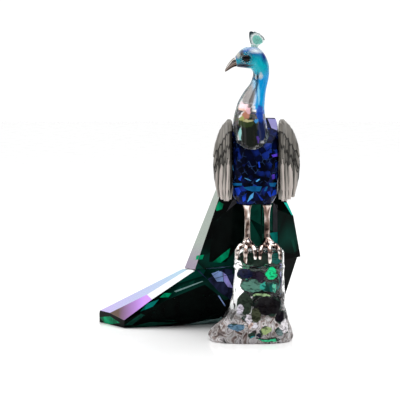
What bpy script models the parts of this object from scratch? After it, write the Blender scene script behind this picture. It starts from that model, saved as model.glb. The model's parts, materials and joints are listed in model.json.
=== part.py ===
"""A cut-crystal peacock on a clear stump.

It faces -Y, its head is turned to -X and its tail runs out to -X and +Y.
Units are metres and +Z is up. The origin is on the ground, under the middle of the stump's foot.
"""

from math import cos, pi, radians, sin, sqrt

import bmesh
import bpy
from mathutils import Vector

GAP = 0.0003

# Stump of clear glass
STUMP_HEIGHT = 0.0515
STUMP_FOOT_WIDTH = 0.0462
STUMP_FOOT_DEPTH = 0.032
STUMP_WAIST_WIDTH = 0.0272
STUMP_WAIST_DEPTH = 0.0205
STUMP_WAIST_RIGHT = 0.0047
STUMP_SHOULDER = 0.0035
STUMP_SQUARENESS = 2.5
# height as a share of the stump's, flare from waist (0) to foot (1)
STUMP_FLARE = (
    (0.0, 0.9),
    (0.06, 1.0),
    (0.13, 0.82),
    (0.21, 0.5),
    (0.34, 0.23),
    (0.5, 0.08),
    (0.72, 0.0),
    (1.0, 0.0),
)
STUMP_SIDES = 28
SHOULDER_STEPS = 4

# Legs and feet of silvered metal
LEG_LENGTH = 0.024
LEG_SPACING = 0.0108
LEG_SET_FORWARD = 0.002
# how far right of the body's middle the legs' middle stands
LEG_SET_RIGHT = 0.0012
SHANK_RADIUS = 0.0015
THIGH_RADIUS = 0.0024
# where the shank starts, above the ankle, and where it ends, swells and meets the thigh, below the body,
# as shares of the leg's length
SHANK_FROM = 0.13
SHANK_TO = 0.3
HOCK_AT = 0.12
THIGH_AT = 0.03
HOCK_SWELL = 1.2
LEG_SIDES = 12
ANKLE_HEIGHT = 0.0052
PAD_RADIUS = 0.0026
TOE_RADIUS = 0.0015
CLAW_RADIUS = 0.0009
TOE_DROP = 0.0078
TOE_STEPS = 7
TOE_SIDES = 8
# where along its level part a toe's knuckle stands, and how thick the toe starts, as shares
KNUCKLE_AT = 0.55
TOE_ROOT = 0.85
# inner, middle and outer toe
TOE_TURNS = (-18, 8, 38)
HALLUX_LENGTH = 0.0052
HALLUX_THICKNESS = 0.8

# Body of dark blue crystal
BODY_HEIGHT = 0.047
BODY_WIDTH = 0.0286
BODY_DEPTH = 0.033
BODY_SET_RIGHT = 0.0022
BODY_SET_BACK = 0.004
BODY_SIDES = 12
# height share, width share, depth share and set-forward share of each row of corners
BODY_ROWS = (
    (0.0, 0.68, 0.5, 0.07),
    (0.1, 0.87, 0.74, 0.04),
    (0.27, 0.98, 0.93, 0.0),
    (0.5, 1.0, 1.0, 0.0),
    (0.72, 1.0, 1.0, 0.0),
    (0.88, 0.92, 0.9, 0.0),
    (1.0, 0.8, 0.7, 0.0),
)
CHEST_FLAT_DEPTH = 0.002
CHEST_FLAT_TILT = 3
# heights of the breast's flat and of the wings' seats, as shares of the body's height
CHEST_FLAT_AT = 0.45
WING_SEAT_AT = 0.42
WING_SEAT_INSET = 0.0007
WING_SEAT_TILT = 3

# Neck and head of clear and blue glass, on a flat ground into the breast
NECK_HEIGHT = 0.056
# height of the seat's front edge as a share of the body's height, and its slope in degrees
NECK_SEAT_AT = 0.65
NECK_SEAT_TILT = 47
# how far the neck's foot stands proud of the breast
NECK_LIP = 0.0015
# back point and front point of each section, as shares of the neck's height right of and above its seat,
# then half its depth and how far it sits back
NECK_ROWS = (
    ((0.131, -0.1), (-0.208, -0.1), 0.165, -0.062),
    ((0.131, 0.132), (-0.208, 0.132), 0.162, -0.062),
    ((0.114, 0.229), (-0.214, 0.229), 0.155, -0.056),
    ((0.101, 0.297), (-0.212, 0.297), 0.145, -0.05),
    ((0.091, 0.384), (-0.19, 0.384), 0.128, -0.03),
    ((0.095, 0.462), (-0.164, 0.462), 0.113, -0.015),
    ((0.105, 0.559), (-0.106, 0.559), 0.09, 0.002),
    ((0.12, 0.628), (-0.053, 0.628), 0.077, 0.012),
    ((0.133, 0.69), (-0.028, 0.69), 0.077, 0.018),
    ((0.138, 0.75), (-0.022, 0.74), 0.085, 0.018),
    ((0.134, 0.815), (-0.042, 0.772), 0.092, 0.018),
    ((0.109, 0.886), (-0.074, 0.778), 0.095, 0.018),
    ((0.066, 0.95), (-0.101, 0.782), 0.095, 0.018),
    ((0.01, 0.991), (-0.123, 0.785), 0.093, 0.018),
    ((-0.051, 1.0), (-0.141, 0.787), 0.088, 0.018),
    ((-0.1, 0.985), (-0.154, 0.789), 0.079, 0.018),
    ((-0.149, 0.955), (-0.165, 0.79), 0.066, 0.018),
    ((-0.196, 0.9), (-0.175, 0.791), 0.051, 0.018),
)
CROWN_ROW = 13
# shares of the neck's height: how far the head sits back, its flats stand from its middle and start above
# the seat, and how much the crown is ground down
HEAD_SET_BACK = 0.018
HEAD_FLAT_HALF = 0.078
HEAD_FLATS_ABOVE = 0.66
CROWN_GRIND = 0.004
NECK_SIDES = 24

# Beak of silvered metal
BEAK_LENGTH = 0.007
BEAK_HEIGHT = 0.0054
BEAK_DEPTH = 0.0046
BEAK_DROOP = 0.004
BEAK_DROOP_POWER = 1.6
# how much thickness the beak loses evenly, and how much more in its hook
BEAK_TAPER = 0.55
BEAK_HOOK_TAPER = 0.33
BEAK_HOOK_POWER = 6
BEAK_SIDES = 12
BEAK_STEPS = 7

# Eyes of black glass
EYE_LENGTH = 0.0046
EYE_HEIGHT = 0.0038
EYE_RISE = 0.0013
# right of and above the neck's seat, as shares of the neck's height
EYE_AT = (-0.089, 0.875)
EYE_SIDES = 14
EYE_RINGS = 8

# Crest of pale clear glass
CREST_WIDTH = 0.0084
CREST_HEIGHT = 0.0085
CREST_DEPTH = 0.0024
CREST_STEM_WIDTH = 0.0036
# right of the neck's seat, as a share of the neck's height
CREST_AT = -0.008
CREST_TOP_RIGHT = 0.0014
# how much lower the fan's right side is than its left, and a notch than a plume, as shares of its height
CREST_SLOPE = 0.48
CREST_NOTCH = 0.08
CREST_PLUMES = 4
CREST_FLARE_POWER = 1.2
# how much thinner the fan is at its top and in its grooves
CREST_THINNING = 0.35
CREST_GROOVE = 0.2
CREST_COLUMNS = 16
CREST_ROWS = 5

# Wings of smoky glass
WING_LENGTH = 0.0445
WING_TOP_BELOW_BODY = 0.0005
WING_WIDTH = 0.0165
LEFT_WING_REACH = 0.0253
RIGHT_WING_REACH = 0.0229
WING_THICKNESS = 0.003
WING_ROUNDING = 0.1
WING_EDGE = 0.0012
WING_FRONT = -0.0052
WING_FRONT_OUT = 0.0014
# room between the wing and the body's facets, ahead of the seat
WING_CLEARANCE = 0.0005
# least distance of the wings from the body's middle, which keeps them clear of the neck
WING_NEAREST = 0.0125
WING_SWEEP = 25
WING_CURVE = 1.4
WING_FEATHERS = 5
WING_GROOVE = 0.0006
SCAPULAR_STEP = 0.0006
COVERT_STEP = 0.0005
# where the shoulder and the coverts end, from the wing's top (0) to its tip (1), at the front and the back edge
SCAPULAR_END = (0.26, 0.46)
COVERT_END = (0.56, 0.62)
GROOVE_FADE = 0.1
# shares of the wing's length: its shortest, and what a feather's tip and the middle of the wing add
WING_SHORTEST = 0.9
FEATHER_TIP = 0.07
WING_MIDDLE = 0.05
# place along the front edge, 0 to 1, that stands highest, doubled
WING_PEAK = 0.7
# share of the wing's width left at its top
WING_TOP_WIDTH = 0.8
# how wide the edge is over which the carving and the back's hollow fade out
CARVING_EDGE = 0.06
HOLLOW_EDGE = 0.3
# height from shoulder (0) to tip (1), then how far out the back edge stands, as a share of the wing's reach
WING_OUTLINE = (
    (0.0, 0.78),
    (0.06, 0.86),
    (0.22, 0.94),
    (0.38, 0.98),
    (0.62, 1.0),
    (0.86, 0.98),
    (1.0, 0.92),
)
WING_COLUMNS = 20
WING_ROWS = 20

# Tail of dark green crystal, in two pieces that meet at a level joint
TAIL_JOINT = 0.0372
TAIL_LENGTH = 0.1166
TAIL_RIGHT = 0.029
TAIL_DEPTH = 0.05
TAIL_SET_BACK = 0.0366
TAIL_FRONT_LEAN = 15.7
# how far up the body's back the tail reaches, as a share of the body's height
TAIL_TOP_AT = 0.777
# rough blocks of the two pieces: shares of depth ahead of the front, of joint height and of length,
# and how far the upper block stands out at the right
LOWER_ROUGH_AHEAD = 0.1
LOWER_ROUGH_TOP = 1.2
UPPER_ROUGH_FOOT = 0.5
UPPER_ROUGH_LENGTH = 0.7
UPPER_ROUGH_RIGHT = 0.004
# corners of the lower piece: left and back as shares of the tail's length and depth,
# up as a share of the joint's height
LOWER_CORNERS = {
    "root outer": (0.566, 0.208, 0.925),
    "root middle": (0.541, 0.123, 0.924),
    "root inner": (0.502, 0.042, 0.9325),
    "bend outer": (0.752, 0.161, 0.507),
    "bend inner": (0.728, 0.046, 0.4515),
    "tip outer": (0.997, 0.486, 0.196),
    "tip middle": (0.942, 0.295, 0.194),
    "tip inner": (0.884, 0.0425, 0.0835),
    "tip foot": (0.957, 0.398, 0.02),
    "keel top": (0.464, -0.002, 0.75),
    "keel foot": (0.36, 0.118, 0.314),
    "sole left": (0.673, 0.192, 0.0),
    "sole rise": (0.414, 0.178, 0.176),
    "front middle": (0.321, 0.0, 1.016),
    "right front": (0.069, 0.12, 1.07),
    "right back": (0.005, 0.268, 1.058),
    "right foot": (0.062, 0.428, 0.423),
    "heel left": (0.85, 0.64, 0.0),
    "heel right": (0.15, 0.7, 0.0),
    "back middle": (0.4, 0.68, 0.6),
    "core": (0.45, 0.35, 0.4),
}
# flats of the lower piece, each through three of its corners
LOWER_FLATS = (
    ("root outer", "tip outer", "tip middle"),
    ("root middle", "bend outer", "root inner"),
    ("bend outer", "bend inner", "tip middle"),
    ("root inner", "bend inner", "tip inner"),
    ("keel top", "tip inner", "sole left"),
    ("keel top", "front middle", "keel foot"),
    ("front middle", "right front", "keel foot"),
    ("right front", "right foot", "keel foot"),
    ("right front", "right back", "right foot"),
    ("sole left", "sole rise", "heel right"),
    ("tip outer", "tip middle", "tip foot"),
    ("root outer", "tip outer", "heel left"),
    ("right back", "right foot", "heel right"),
    ("heel left", "heel right", "back middle"),
)
# corners of the upper piece: left and back of the leaning front as shares of length and depth,
# up from joint to top
UPPER_CORNERS = {
    "strip top": (0.394, 0.0, 0.54),
    "strip foot": (0.514, 0.0, -0.037),
    "left top": (0.408, 0.12, 0.567),
    "left foot": (0.566, 0.2, -0.037),
    "crease top": (0.111, 0.0, 0.437),
    "crease foot": (0.106, 0.0, 0.142),
    "right top": (0.057, 0.2, 0.523),
    "right middle": (0.029, 0.17, 0.376),
    "right foot": (0.018, 0.28, 0.03),
    "ridge foot": (0.25, 0.5, 0.0),
    "core": (0.25, 0.2, 0.2),
}
UPPER_FLATS = (
    ("strip top", "strip foot", "left foot"),
    ("left top", "left foot", "ridge foot"),
    ("crease top", "crease foot", "right middle"),
    ("crease top", "right top", "right middle"),
    ("right middle", "right foot", "ridge foot"),
)


def material(name, colour, roughness, metallic=0.0, transmission=0.0):
    made = bpy.data.materials.new(name)
    made.use_nodes = True
    shader = made.node_tree.nodes["Principled BSDF"]
    shader.inputs["Base Color"].default_value = (*colour, 1.0)
    shader.inputs["Roughness"].default_value = roughness
    shader.inputs["Metallic"].default_value = metallic
    shader.inputs["Transmission Weight"].default_value = transmission
    made.diffuse_color = (*colour, 1.0)
    return made


def add_object(name, mesh, finish, smooth=False):
    bmesh.ops.recalc_face_normals(mesh, faces=mesh.faces)
    if mesh.calc_volume(signed=True) < 0:
        bmesh.ops.reverse_faces(mesh, faces=mesh.faces)
    for face in mesh.faces:
        face.smooth = smooth
    data = bpy.data.meshes.new(name)
    mesh.to_mesh(data)
    mesh.free()
    data.materials.append(finish)
    made = bpy.data.objects.new(name, data)
    made.parent = bpy.data.objects["peacock"]
    bpy.context.scene.collection.objects.link(made)
    return made


def blend(table, at):
    """Reads a table of (at, value) rows at one place, straight between rows."""
    for (low, first), (high, second) in zip(table, table[1:]):
        if at <= high:
            return first + (second - first) * max(0.0, at - low) / (high - low)
    return table[-1][1]


def loft(rings):
    """Skins a row of closed rings that have the same number of points, and caps both ends."""
    mesh = bmesh.new()
    loop = bmesh.ops.create_circle(mesh, segments=len(rings[0]), radius=1.0)["verts"]
    for vertex, point in zip(loop, rings[0]):
        vertex.co = point
    bmesh.ops.contextual_create(mesh, geom=loop)
    for ring in rings[1:]:
        edges = [mesh.edges.get((loop[i - 1], loop[i])) for i in range(len(loop))]
        made = bmesh.ops.extrude_edge_only(mesh, edges=edges)["geom"]
        fresh = {item for item in made if isinstance(item, bmesh.types.BMVert)}
        beyond = [[edge.other_vert(old) for edge in old.link_edges] for old in loop]
        loop = [next(vertex for vertex in others if vertex in fresh) for others in beyond]
        for vertex, point in zip(loop, ring):
            vertex.co = point
    bmesh.ops.contextual_create(mesh, geom=loop)
    return mesh


def tube(path, radii, sides):
    """A round bar along a path that starts near level or upright, with a radius at each point."""
    rings = []
    side = Vector((0.0, 0.0, 1.0))
    for index, (point, radius) in enumerate(zip(path, radii)):
        along = path[min(index + 1, len(path) - 1)] - path[max(index - 1, 0)]
        along.normalize()
        if index == 0 and abs(along.z) > 0.9:
            side = Vector((1.0, 0.0, 0.0))
        side = (side - along * side.dot(along)).normalized()
        across = along.cross(side)
        turns = [2 * pi * step / sides for step in range(sides)]
        rings.append([point + radius * (cos(turn) * side + sin(turn) * across) for turn in turns])
    return loft(rings)


def grind(mesh, point, outward, above=None):
    """Grinds a flat: takes off what lies outward of a plane, above a height if given, and closes the cut."""
    faces = [face for face in mesh.faces if above is None or face.calc_center_median().z > above]
    edges = {edge for face in faces for edge in face.edges}
    vertices = {vertex for face in faces for vertex in face.verts}
    cut = bmesh.ops.bisect_plane(
        mesh,
        geom=[*vertices, *edges, *faces],
        dist=1e-7,
        plane_co=point,
        plane_no=outward,
        clear_outer=True,
    )
    rim = [item for item in cut["geom_cut"] if isinstance(item, bmesh.types.BMEdge)]
    bmesh.ops.contextual_create(mesh, geom=rim)


def facet(mesh, first, second, third, inside):
    """Grinds the flat that passes through three points, on the side away from an inside point."""
    outward = (second - first).cross(third - first).normalized()
    if outward.dot(inside - first) > 0:
        outward = -outward
    grind(mesh, first, outward)


def hull(points):
    mesh = bmesh.new()
    for point in points:
        mesh.verts.new(point)
    made = bmesh.ops.convex_hull(mesh, input=mesh.verts)
    inside = made["geom_interior"] + made["geom_unused"]
    loose = [item for item in set(inside) if isinstance(item, bmesh.types.BMVert)]
    bmesh.ops.delete(mesh, geom=loose, context="VERTS")
    return mesh


def slab(columns, rows, shape):
    """A closed sheet: a grid with a copy behind it, shaped from a point's across, along and depth (0 to 1)."""
    mesh = bmesh.new()
    bmesh.ops.create_grid(mesh, x_segments=columns, y_segments=rows, size=0.5)
    bmesh.ops.translate(mesh, verts=mesh.verts, vec=(0.5, 0.5, 0.0))
    front = mesh.faces[:]
    made = bmesh.ops.extrude_face_region(mesh, geom=front, use_keep_orig=True)["geom"]
    behind = [item for item in made if isinstance(item, bmesh.types.BMVert)]
    bmesh.ops.translate(mesh, verts=behind, vec=(0.0, 0.0, 1.0))
    for vertex in mesh.verts:
        vertex.co = shape(*vertex.co)
    return mesh


def join_to(base, others):
    """Joins helpers to an object with exact unions, and keeps them out of the render."""
    for other in others:
        other.hide_render = True
        other.display_type = "WIRE"
        union = base.modifiers.new("Join " + other.name, "BOOLEAN")
        union.operation = "UNION"
        union.solver = "EXACT"
        union.object = other


def stump_size(height, grow):
    """Half width, half depth and middle of the stump at a height, with its skin grown by a distance."""
    flare = blend(STUMP_FLARE, height / STUMP_HEIGHT)
    shoulder = STUMP_SHOULDER + grow
    over = max(0.0, height - (STUMP_HEIGHT - STUMP_SHOULDER))
    inset = shoulder - sqrt(max(0.0, shoulder * shoulder - over * over))
    half_width = (STUMP_WAIST_WIDTH + (STUMP_FOOT_WIDTH - STUMP_WAIST_WIDTH) * flare) / 2 + grow - inset
    half_depth = (STUMP_WAIST_DEPTH + (STUMP_FOOT_DEPTH - STUMP_WAIST_DEPTH) * flare) / 2 + grow - inset
    return half_width, half_depth, STUMP_WAIST_RIGHT * (1.0 - flare)


def stump_ring(height):
    half_width, half_depth, middle = stump_size(height, 0.0)
    ring = []
    for step in range(STUMP_SIDES):
        turn = 2 * pi * step / STUMP_SIDES
        x, y = cos(turn), sin(turn)
        reach = (abs(x) ** STUMP_SQUARENESS + abs(y) ** STUMP_SQUARENESS) ** (-1 / STUMP_SQUARENESS)
        ring.append(Vector((middle + half_width * x * reach, half_depth * y * reach, height)))
    return ring


def stump_reach(start, heading, height, grow):
    """How far a level line runs from a start inside the stump before it leaves the stump's grown skin."""
    half_width, half_depth, middle = stump_size(height, grow)
    near, far = 0.0, STUMP_FOOT_WIDTH
    while far - near > 1e-6:
        reach = (near + far) / 2
        at = start + heading * reach
        right, back = abs((at.x - middle) / half_width), abs(at.y / half_depth)
        if right ** STUMP_SQUARENESS + back ** STUMP_SQUARENESS < 1.0:
            near = reach
        else:
            far = reach
    return near


def make_stump(finish):
    heights = [share * STUMP_HEIGHT for share, flare in STUMP_FLARE[:-1]]
    shoulder_turns = [pi / 2 * step / SHOULDER_STEPS for step in range(SHOULDER_STEPS + 1)]
    heights += [STUMP_HEIGHT - STUMP_SHOULDER * (1 - sin(turn)) for turn in shoulder_turns]
    add_object("stump", loft([stump_ring(height) for height in heights]), finish, smooth=True)


def toe(ankle, turn, drop):
    """A toe that runs from the ankle to the stump's edge and bends down over it."""
    heading = Vector((sin(radians(turn)), -cos(radians(turn)), 0.0))
    grow = TOE_RADIUS + GAP
    steps = [step / TOE_STEPS for step in range(TOE_STEPS + 1)]
    heights = [STUMP_HEIGHT + grow - (grow + drop) * step for step in steps]
    path = [ankle, ankle + heading * stump_reach(ankle, heading, heights[0], grow) * KNUCKLE_AT]
    path[1].z = STUMP_HEIGHT + grow + TOE_RADIUS
    for height in heights:
        at = ankle + heading * stump_reach(ankle, heading, height, grow)
        path.append(Vector((at.x, at.y, height)))
    radii = [TOE_RADIUS * TOE_ROOT, TOE_RADIUS]
    radii += [TOE_RADIUS + (CLAW_RADIUS - TOE_RADIUS) * step ** 2 for step in steps]
    return tube(path, radii, TOE_SIDES)


def hallux(ankle):
    floor = STUMP_HEIGHT + GAP
    tip = ankle + Vector((0.0, HALLUX_LENGTH, 0.0))
    tip.z = floor + CLAW_RADIUS
    radius = TOE_RADIUS * HALLUX_THICKNESS
    middle = ankle.lerp(tip, 0.5)
    middle.z = floor + radius + CLAW_RADIUS
    return tube([ankle, middle, tip], [radius, radius, CLAW_RADIUS], TOE_SIDES)


def make_leg(name, side, finish):
    floor = STUMP_HEIGHT + GAP
    top = STUMP_HEIGHT + LEG_LENGTH - GAP
    right = BODY_SET_RIGHT + LEG_SET_RIGHT + side * LEG_SPACING / 2
    ankle = Vector((right, -LEG_SET_FORWARD, STUMP_HEIGHT + ANKLE_HEIGHT))
    profile = (
        (floor, PAD_RADIUS),
        ((floor + ankle.z) / 2, PAD_RADIUS),
        (ankle.z, SHANK_RADIUS * HOCK_SWELL),
        (ankle.z + LEG_LENGTH * SHANK_FROM, SHANK_RADIUS),
        (top - LEG_LENGTH * SHANK_TO, SHANK_RADIUS),
        (top - LEG_LENGTH * HOCK_AT, SHANK_RADIUS * HOCK_SWELL),
        (top - LEG_LENGTH * THIGH_AT, THIGH_RADIUS),
        (top, THIGH_RADIUS),
    )
    path = [Vector((ankle.x, ankle.y, height)) for height, radius in profile]
    leg = add_object(name, tube(path, [radius for height, radius in profile], LEG_SIDES), finish, smooth=True)
    toes = []
    for turn in TOE_TURNS:
        toes.append(add_object(f"{name}_toe_{turn}", toe(ankle, side * turn, TOE_DROP), finish))
    toes.append(add_object(f"{name}_hallux", hallux(ankle), finish))
    join_to(leg, toes)


def body_floor():
    return STUMP_HEIGHT + LEG_LENGTH


def tail_top():
    return body_floor() + BODY_HEIGHT * TAIL_TOP_AT


def neck_seat():
    """A point of the flat where the neck meets the breast, and the way that flat faces."""
    point = Vector((BODY_SET_RIGHT, body_chest() - NECK_LIP, body_floor() + BODY_HEIGHT * NECK_SEAT_AT))
    return point, Vector((0.0, -cos(radians(NECK_SEAT_TILT)), sin(radians(NECK_SEAT_TILT))))


def body_chest():
    """Where the large flat of the breast stands."""
    return BODY_SET_BACK - BODY_DEPTH / 2 + CHEST_FLAT_DEPTH


def wing_seat(side):
    """A point of the flat where a wing meets the body, and the way that flat faces."""
    right = BODY_SET_RIGHT + side * (BODY_WIDTH / 2 - WING_SEAT_INSET)
    point = Vector((right, 0.0, body_floor() + BODY_HEIGHT * WING_SEAT_AT))
    return point, Vector((side * cos(radians(WING_SEAT_TILT)), 0.0, sin(radians(WING_SEAT_TILT))))


def tail_seat():
    """A point of the flat where the tail meets the body's back, and the way the tail's front faces."""
    point = Vector((0.0, TAIL_SET_BACK, TAIL_JOINT))
    return point, Vector((0.0, -cos(radians(TAIL_FRONT_LEAN)), -sin(radians(TAIL_FRONT_LEAN))))


def make_body(finish):
    points = []
    for row, (up, wide, deep, forward) in enumerate(BODY_ROWS):
        for step in range(BODY_SIDES):
            turn = 2 * pi * (step + row % 2 / 2) / BODY_SIDES
            x = BODY_SET_RIGHT + BODY_WIDTH / 2 * wide * cos(turn)
            y = BODY_SET_BACK + BODY_DEPTH * (deep / 2 * sin(turn) - forward)
            points.append(Vector((x, y, body_floor() + BODY_HEIGHT * up)))
    mesh = hull(points)
    tilt = radians(CHEST_FLAT_TILT)
    middle = body_floor() + BODY_HEIGHT * CHEST_FLAT_AT
    grind(mesh, Vector((0.0, body_chest(), middle)), Vector((0.0, -cos(tilt), -sin(tilt))))
    grind(mesh, *neck_seat())
    for side in (-1, 1):
        grind(mesh, *wing_seat(side))
    point, front = tail_seat()
    grind(mesh, point + GAP * front, -front)
    add_object("body", mesh, finish)


def neck_point(right, up, back=0.0):
    """A place given as shares of the neck's height, right of and above the middle of its seat."""
    return Vector((
        BODY_SET_RIGHT + right * NECK_HEIGHT,
        back * NECK_HEIGHT,
        body_floor() + BODY_HEIGHT * NECK_SEAT_AT + up * NECK_HEIGHT,
    ))


def crown_point():
    return neck_point(CREST_AT, NECK_ROWS[CROWN_ROW][0][1] - CROWN_GRIND, HEAD_SET_BACK)


def beak_seat():
    """Middle of the flat at the front of the head, the way it faces, and its upward direction."""
    back, front, deep, set_back = NECK_ROWS[-1]
    top, foot = neck_point(*back, set_back), neck_point(*front, set_back)
    up = (top - foot).normalized()
    outward = up.cross(Vector((0.0, 1.0, 0.0)))
    return (top + foot) / 2, outward if outward.x < 0 else -outward, up


def make_neck(finish):
    rings = []
    for back, front, deep, set_back in NECK_ROWS:
        rear, fore = neck_point(*back, set_back), neck_point(*front, set_back)
        middle, half = (rear + fore) / 2, (rear - fore) / 2
        side = Vector((0.0, deep * NECK_HEIGHT, 0.0))
        turns = [2 * pi * step / NECK_SIDES for step in range(NECK_SIDES)]
        rings.append([middle + half * cos(turn) + side * sin(turn) for turn in turns])
    mesh = loft(rings)
    point, outward = neck_seat()
    grind(mesh, point + GAP * outward, -outward)
    for side in (-1, 1):
        flat = neck_point(0.0, 0.0, HEAD_SET_BACK + side * HEAD_FLAT_HALF)
        grind(mesh, flat, Vector((0.0, side, 0.0)), above=neck_point(0.0, HEAD_FLATS_ABOVE).z)
    grind(mesh, crown_point(), Vector((0.0, 0.0, 1.0)))
    add_object("neck_head", mesh, finish, smooth=True)


def make_beak(finish):
    seat, outward, up = beak_seat()
    rings = []
    for step in range(BEAK_STEPS):
        along = step / (BEAK_STEPS - 1)
        size = 1 - BEAK_TAPER * along - BEAK_HOOK_TAPER * along ** BEAK_HOOK_POWER
        middle = seat + outward * (GAP + BEAK_LENGTH * along) - up * (BEAK_DROOP * along ** BEAK_DROOP_POWER)
        turns = [2 * pi * index / BEAK_SIDES for index in range(BEAK_SIDES)]
        rings.append([
            middle
            + up * (BEAK_HEIGHT / 2 * size * cos(turn))
            + Vector((0.0, BEAK_DEPTH / 2 * size * sin(turn), 0.0))
            for turn in turns
        ])
    add_object("beak", loft(rings), finish, smooth=True)


def make_eye(name, side, finish):
    seat = neck_point(*EYE_AT, HEAD_SET_BACK + side * HEAD_FLAT_HALF) + Vector((0.0, side * GAP, 0.0))
    mesh = bmesh.new()
    bmesh.ops.create_uvsphere(mesh, u_segments=EYE_SIDES, v_segments=EYE_RINGS, radius=1.0)
    bmesh.ops.scale(mesh, verts=mesh.verts, vec=(EYE_LENGTH / 2, EYE_RISE, EYE_HEIGHT / 2))
    bmesh.ops.translate(mesh, verts=mesh.verts, vec=seat)
    grind(mesh, seat, Vector((0.0, -side, 0.0)))
    add_object(name, mesh, finish, smooth=True)


def make_crest(finish):
    foot = crown_point() + Vector((0.0, 0.0, GAP))

    def shape(across, up, depth):
        plume = abs(sin(pi * CREST_PLUMES * across))
        spread = CREST_STEM_WIDTH + (CREST_WIDTH - CREST_STEM_WIDTH) * sin(pi / 2 * up) ** CREST_FLARE_POWER
        arch = 1 - CREST_SLOPE * across ** 2 - CREST_NOTCH * (1 - plume)
        x = spread * (across - 0.5) + CREST_TOP_RIGHT * up
        thick = CREST_DEPTH * (1 - CREST_THINNING * up) * (1 - CREST_GROOVE * up * (1 - plume))
        return foot + Vector((x, thick * (0.5 - depth), CREST_HEIGHT * up * arch))

    add_object("crest", slab(CREST_COLUMNS, CREST_ROWS, shape), finish, smooth=True)


def wing_nearest(height, back):
    """How near the body's middle a wing may come, at a height and at a place behind the origin."""
    up = (height - body_floor()) / BODY_HEIGHT
    wide, deep, forward = (blend([(row[0], row[column]) for row in BODY_ROWS], up) for column in (1, 2, 3))
    round_share = (back - BODY_SET_BACK + BODY_DEPTH * forward) / (BODY_DEPTH / 2 * deep)
    half_width = BODY_WIDTH / 2 * wide * sqrt(max(0.0, 1 - round_share ** 2))
    return max(WING_NEAREST, half_width + WING_CLEARANCE)


def wing_relief(across, down):
    """Height of the feather carving: a smooth shoulder, then coverts, then long feathers, in layers."""
    shoulder_end, covert_end = (near + (far - near) * across for near, far in (SCAPULAR_END, COVERT_END))
    ribs = abs(sin(pi * WING_FEATHERS * across))
    if down < shoulder_end:
        return SCAPULAR_STEP + COVERT_STEP
    groove = WING_GROOVE * (1 - ribs) * min(1.0, (down - shoulder_end) / GROOVE_FADE)
    return (COVERT_STEP if down < covert_end else 0.0) - groove


def make_wing(name, side, reach, finish):
    """A wing: its front edge stands against the body's flat and its back edge stands out from the body."""
    top = body_floor() + BODY_HEIGHT - WING_TOP_BELOW_BODY
    seat, outward = wing_seat(side)

    def shape(across, down, depth):
        feather = abs(sin(pi * WING_FEATHERS * across))
        length = WING_LENGTH * (WING_SHORTEST + FEATHER_TIP * feather + WING_MIDDLE * sin(pi * across))
        rounding = WING_LENGTH * WING_ROUNDING * (1 - down) * (2 * across - WING_PEAK) ** 2
        height = top - rounding - length * down
        seat_out = abs(seat.x - BODY_SET_RIGHT) + (GAP - outward.z * (height - seat.z)) / abs(outward.x)
        front = min(seat_out, wing_nearest(height, WING_FRONT)) + WING_FRONT_OUT
        out = front + (reach * blend(WING_OUTLINE, down) - front) * across ** WING_CURVE
        edge = min(across, 1 - across, down, 1 - down)
        if depth < 0.5:
            lift = wing_relief(across, down) * min(1.0, edge / CARVING_EDGE)
        else:
            lift = -WING_EDGE - (WING_THICKNESS - WING_EDGE) * min(1.0, edge / HOLLOW_EDGE)
        turn = radians(WING_SWEEP * across)
        back = WING_FRONT + WING_WIDTH * across * (WING_TOP_WIDTH + (1 - WING_TOP_WIDTH) * down)
        back -= lift * sin(turn)
        nearest = min(seat_out, wing_nearest(height, back))
        return Vector((BODY_SET_RIGHT + side * max(out + lift * cos(turn), nearest), back, height))

    add_object(name, slab(WING_COLUMNS, WING_ROWS, shape), finish, smooth=True)


def lower_corner(name):
    """A corner of the lower piece: left of the tail's right end, behind its front, above the ground."""
    left, back, up = LOWER_CORNERS[name]
    return Vector((TAIL_RIGHT - left * TAIL_LENGTH, TAIL_SET_BACK + back * TAIL_DEPTH, up * TAIL_JOINT))


def upper_corner(name):
    """A corner of the upper piece: left of the tail's right end, behind its front, above the joint."""
    left, back, up = UPPER_CORNERS[name]
    point, front = tail_seat()
    height = TAIL_JOINT + up * (tail_top() - TAIL_JOINT)
    lean = (height - TAIL_JOINT) * front.z / front.y
    return Vector((TAIL_RIGHT - left * TAIL_LENGTH, TAIL_SET_BACK - lean + back * TAIL_DEPTH, height))


def grind_between(mesh, corner, flats):
    for names in flats:
        facet(mesh, *(corner(name) for name in names), corner("core"))


def joint_flat():
    """A point of the joint between the tail's pieces, and the joint's upward direction."""
    left, right = lower_corner("root inner"), lower_corner("right front")
    return left, (right - left).cross(Vector((0.0, 1.0, 0.0))).normalized()


def block(low, high):
    mesh = bmesh.new()
    bmesh.ops.create_cube(mesh, size=1.0)
    bmesh.ops.scale(mesh, verts=mesh.verts, vec=high - low)
    bmesh.ops.translate(mesh, verts=mesh.verts, vec=(high + low) / 2)
    return mesh


def make_tail_lower(finish):
    low = Vector((TAIL_RIGHT - TAIL_LENGTH, TAIL_SET_BACK - TAIL_DEPTH * LOWER_ROUGH_AHEAD, 0.0))
    mesh = block(low, Vector((TAIL_RIGHT, TAIL_SET_BACK + TAIL_DEPTH, TAIL_JOINT * LOWER_ROUGH_TOP)))
    point, up = joint_flat()
    grind(mesh, point - up * GAP, up)
    grind_between(mesh, lower_corner, LOWER_FLATS)
    add_object("tail_lower", mesh, finish)


def make_tail_upper(finish):
    point, front = tail_seat()
    low = Vector((TAIL_RIGHT - TAIL_LENGTH * UPPER_ROUGH_LENGTH, 0.0, TAIL_JOINT * UPPER_ROUGH_FOOT))
    mesh = block(low, Vector((TAIL_RIGHT + UPPER_ROUGH_RIGHT, TAIL_SET_BACK + TAIL_DEPTH, tail_top())))
    grind(mesh, point, front)
    joint, up = joint_flat()
    grind(mesh, joint, -up)
    grind_between(mesh, upper_corner, UPPER_FLATS)
    add_object("tail_upper", mesh, finish)


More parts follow.
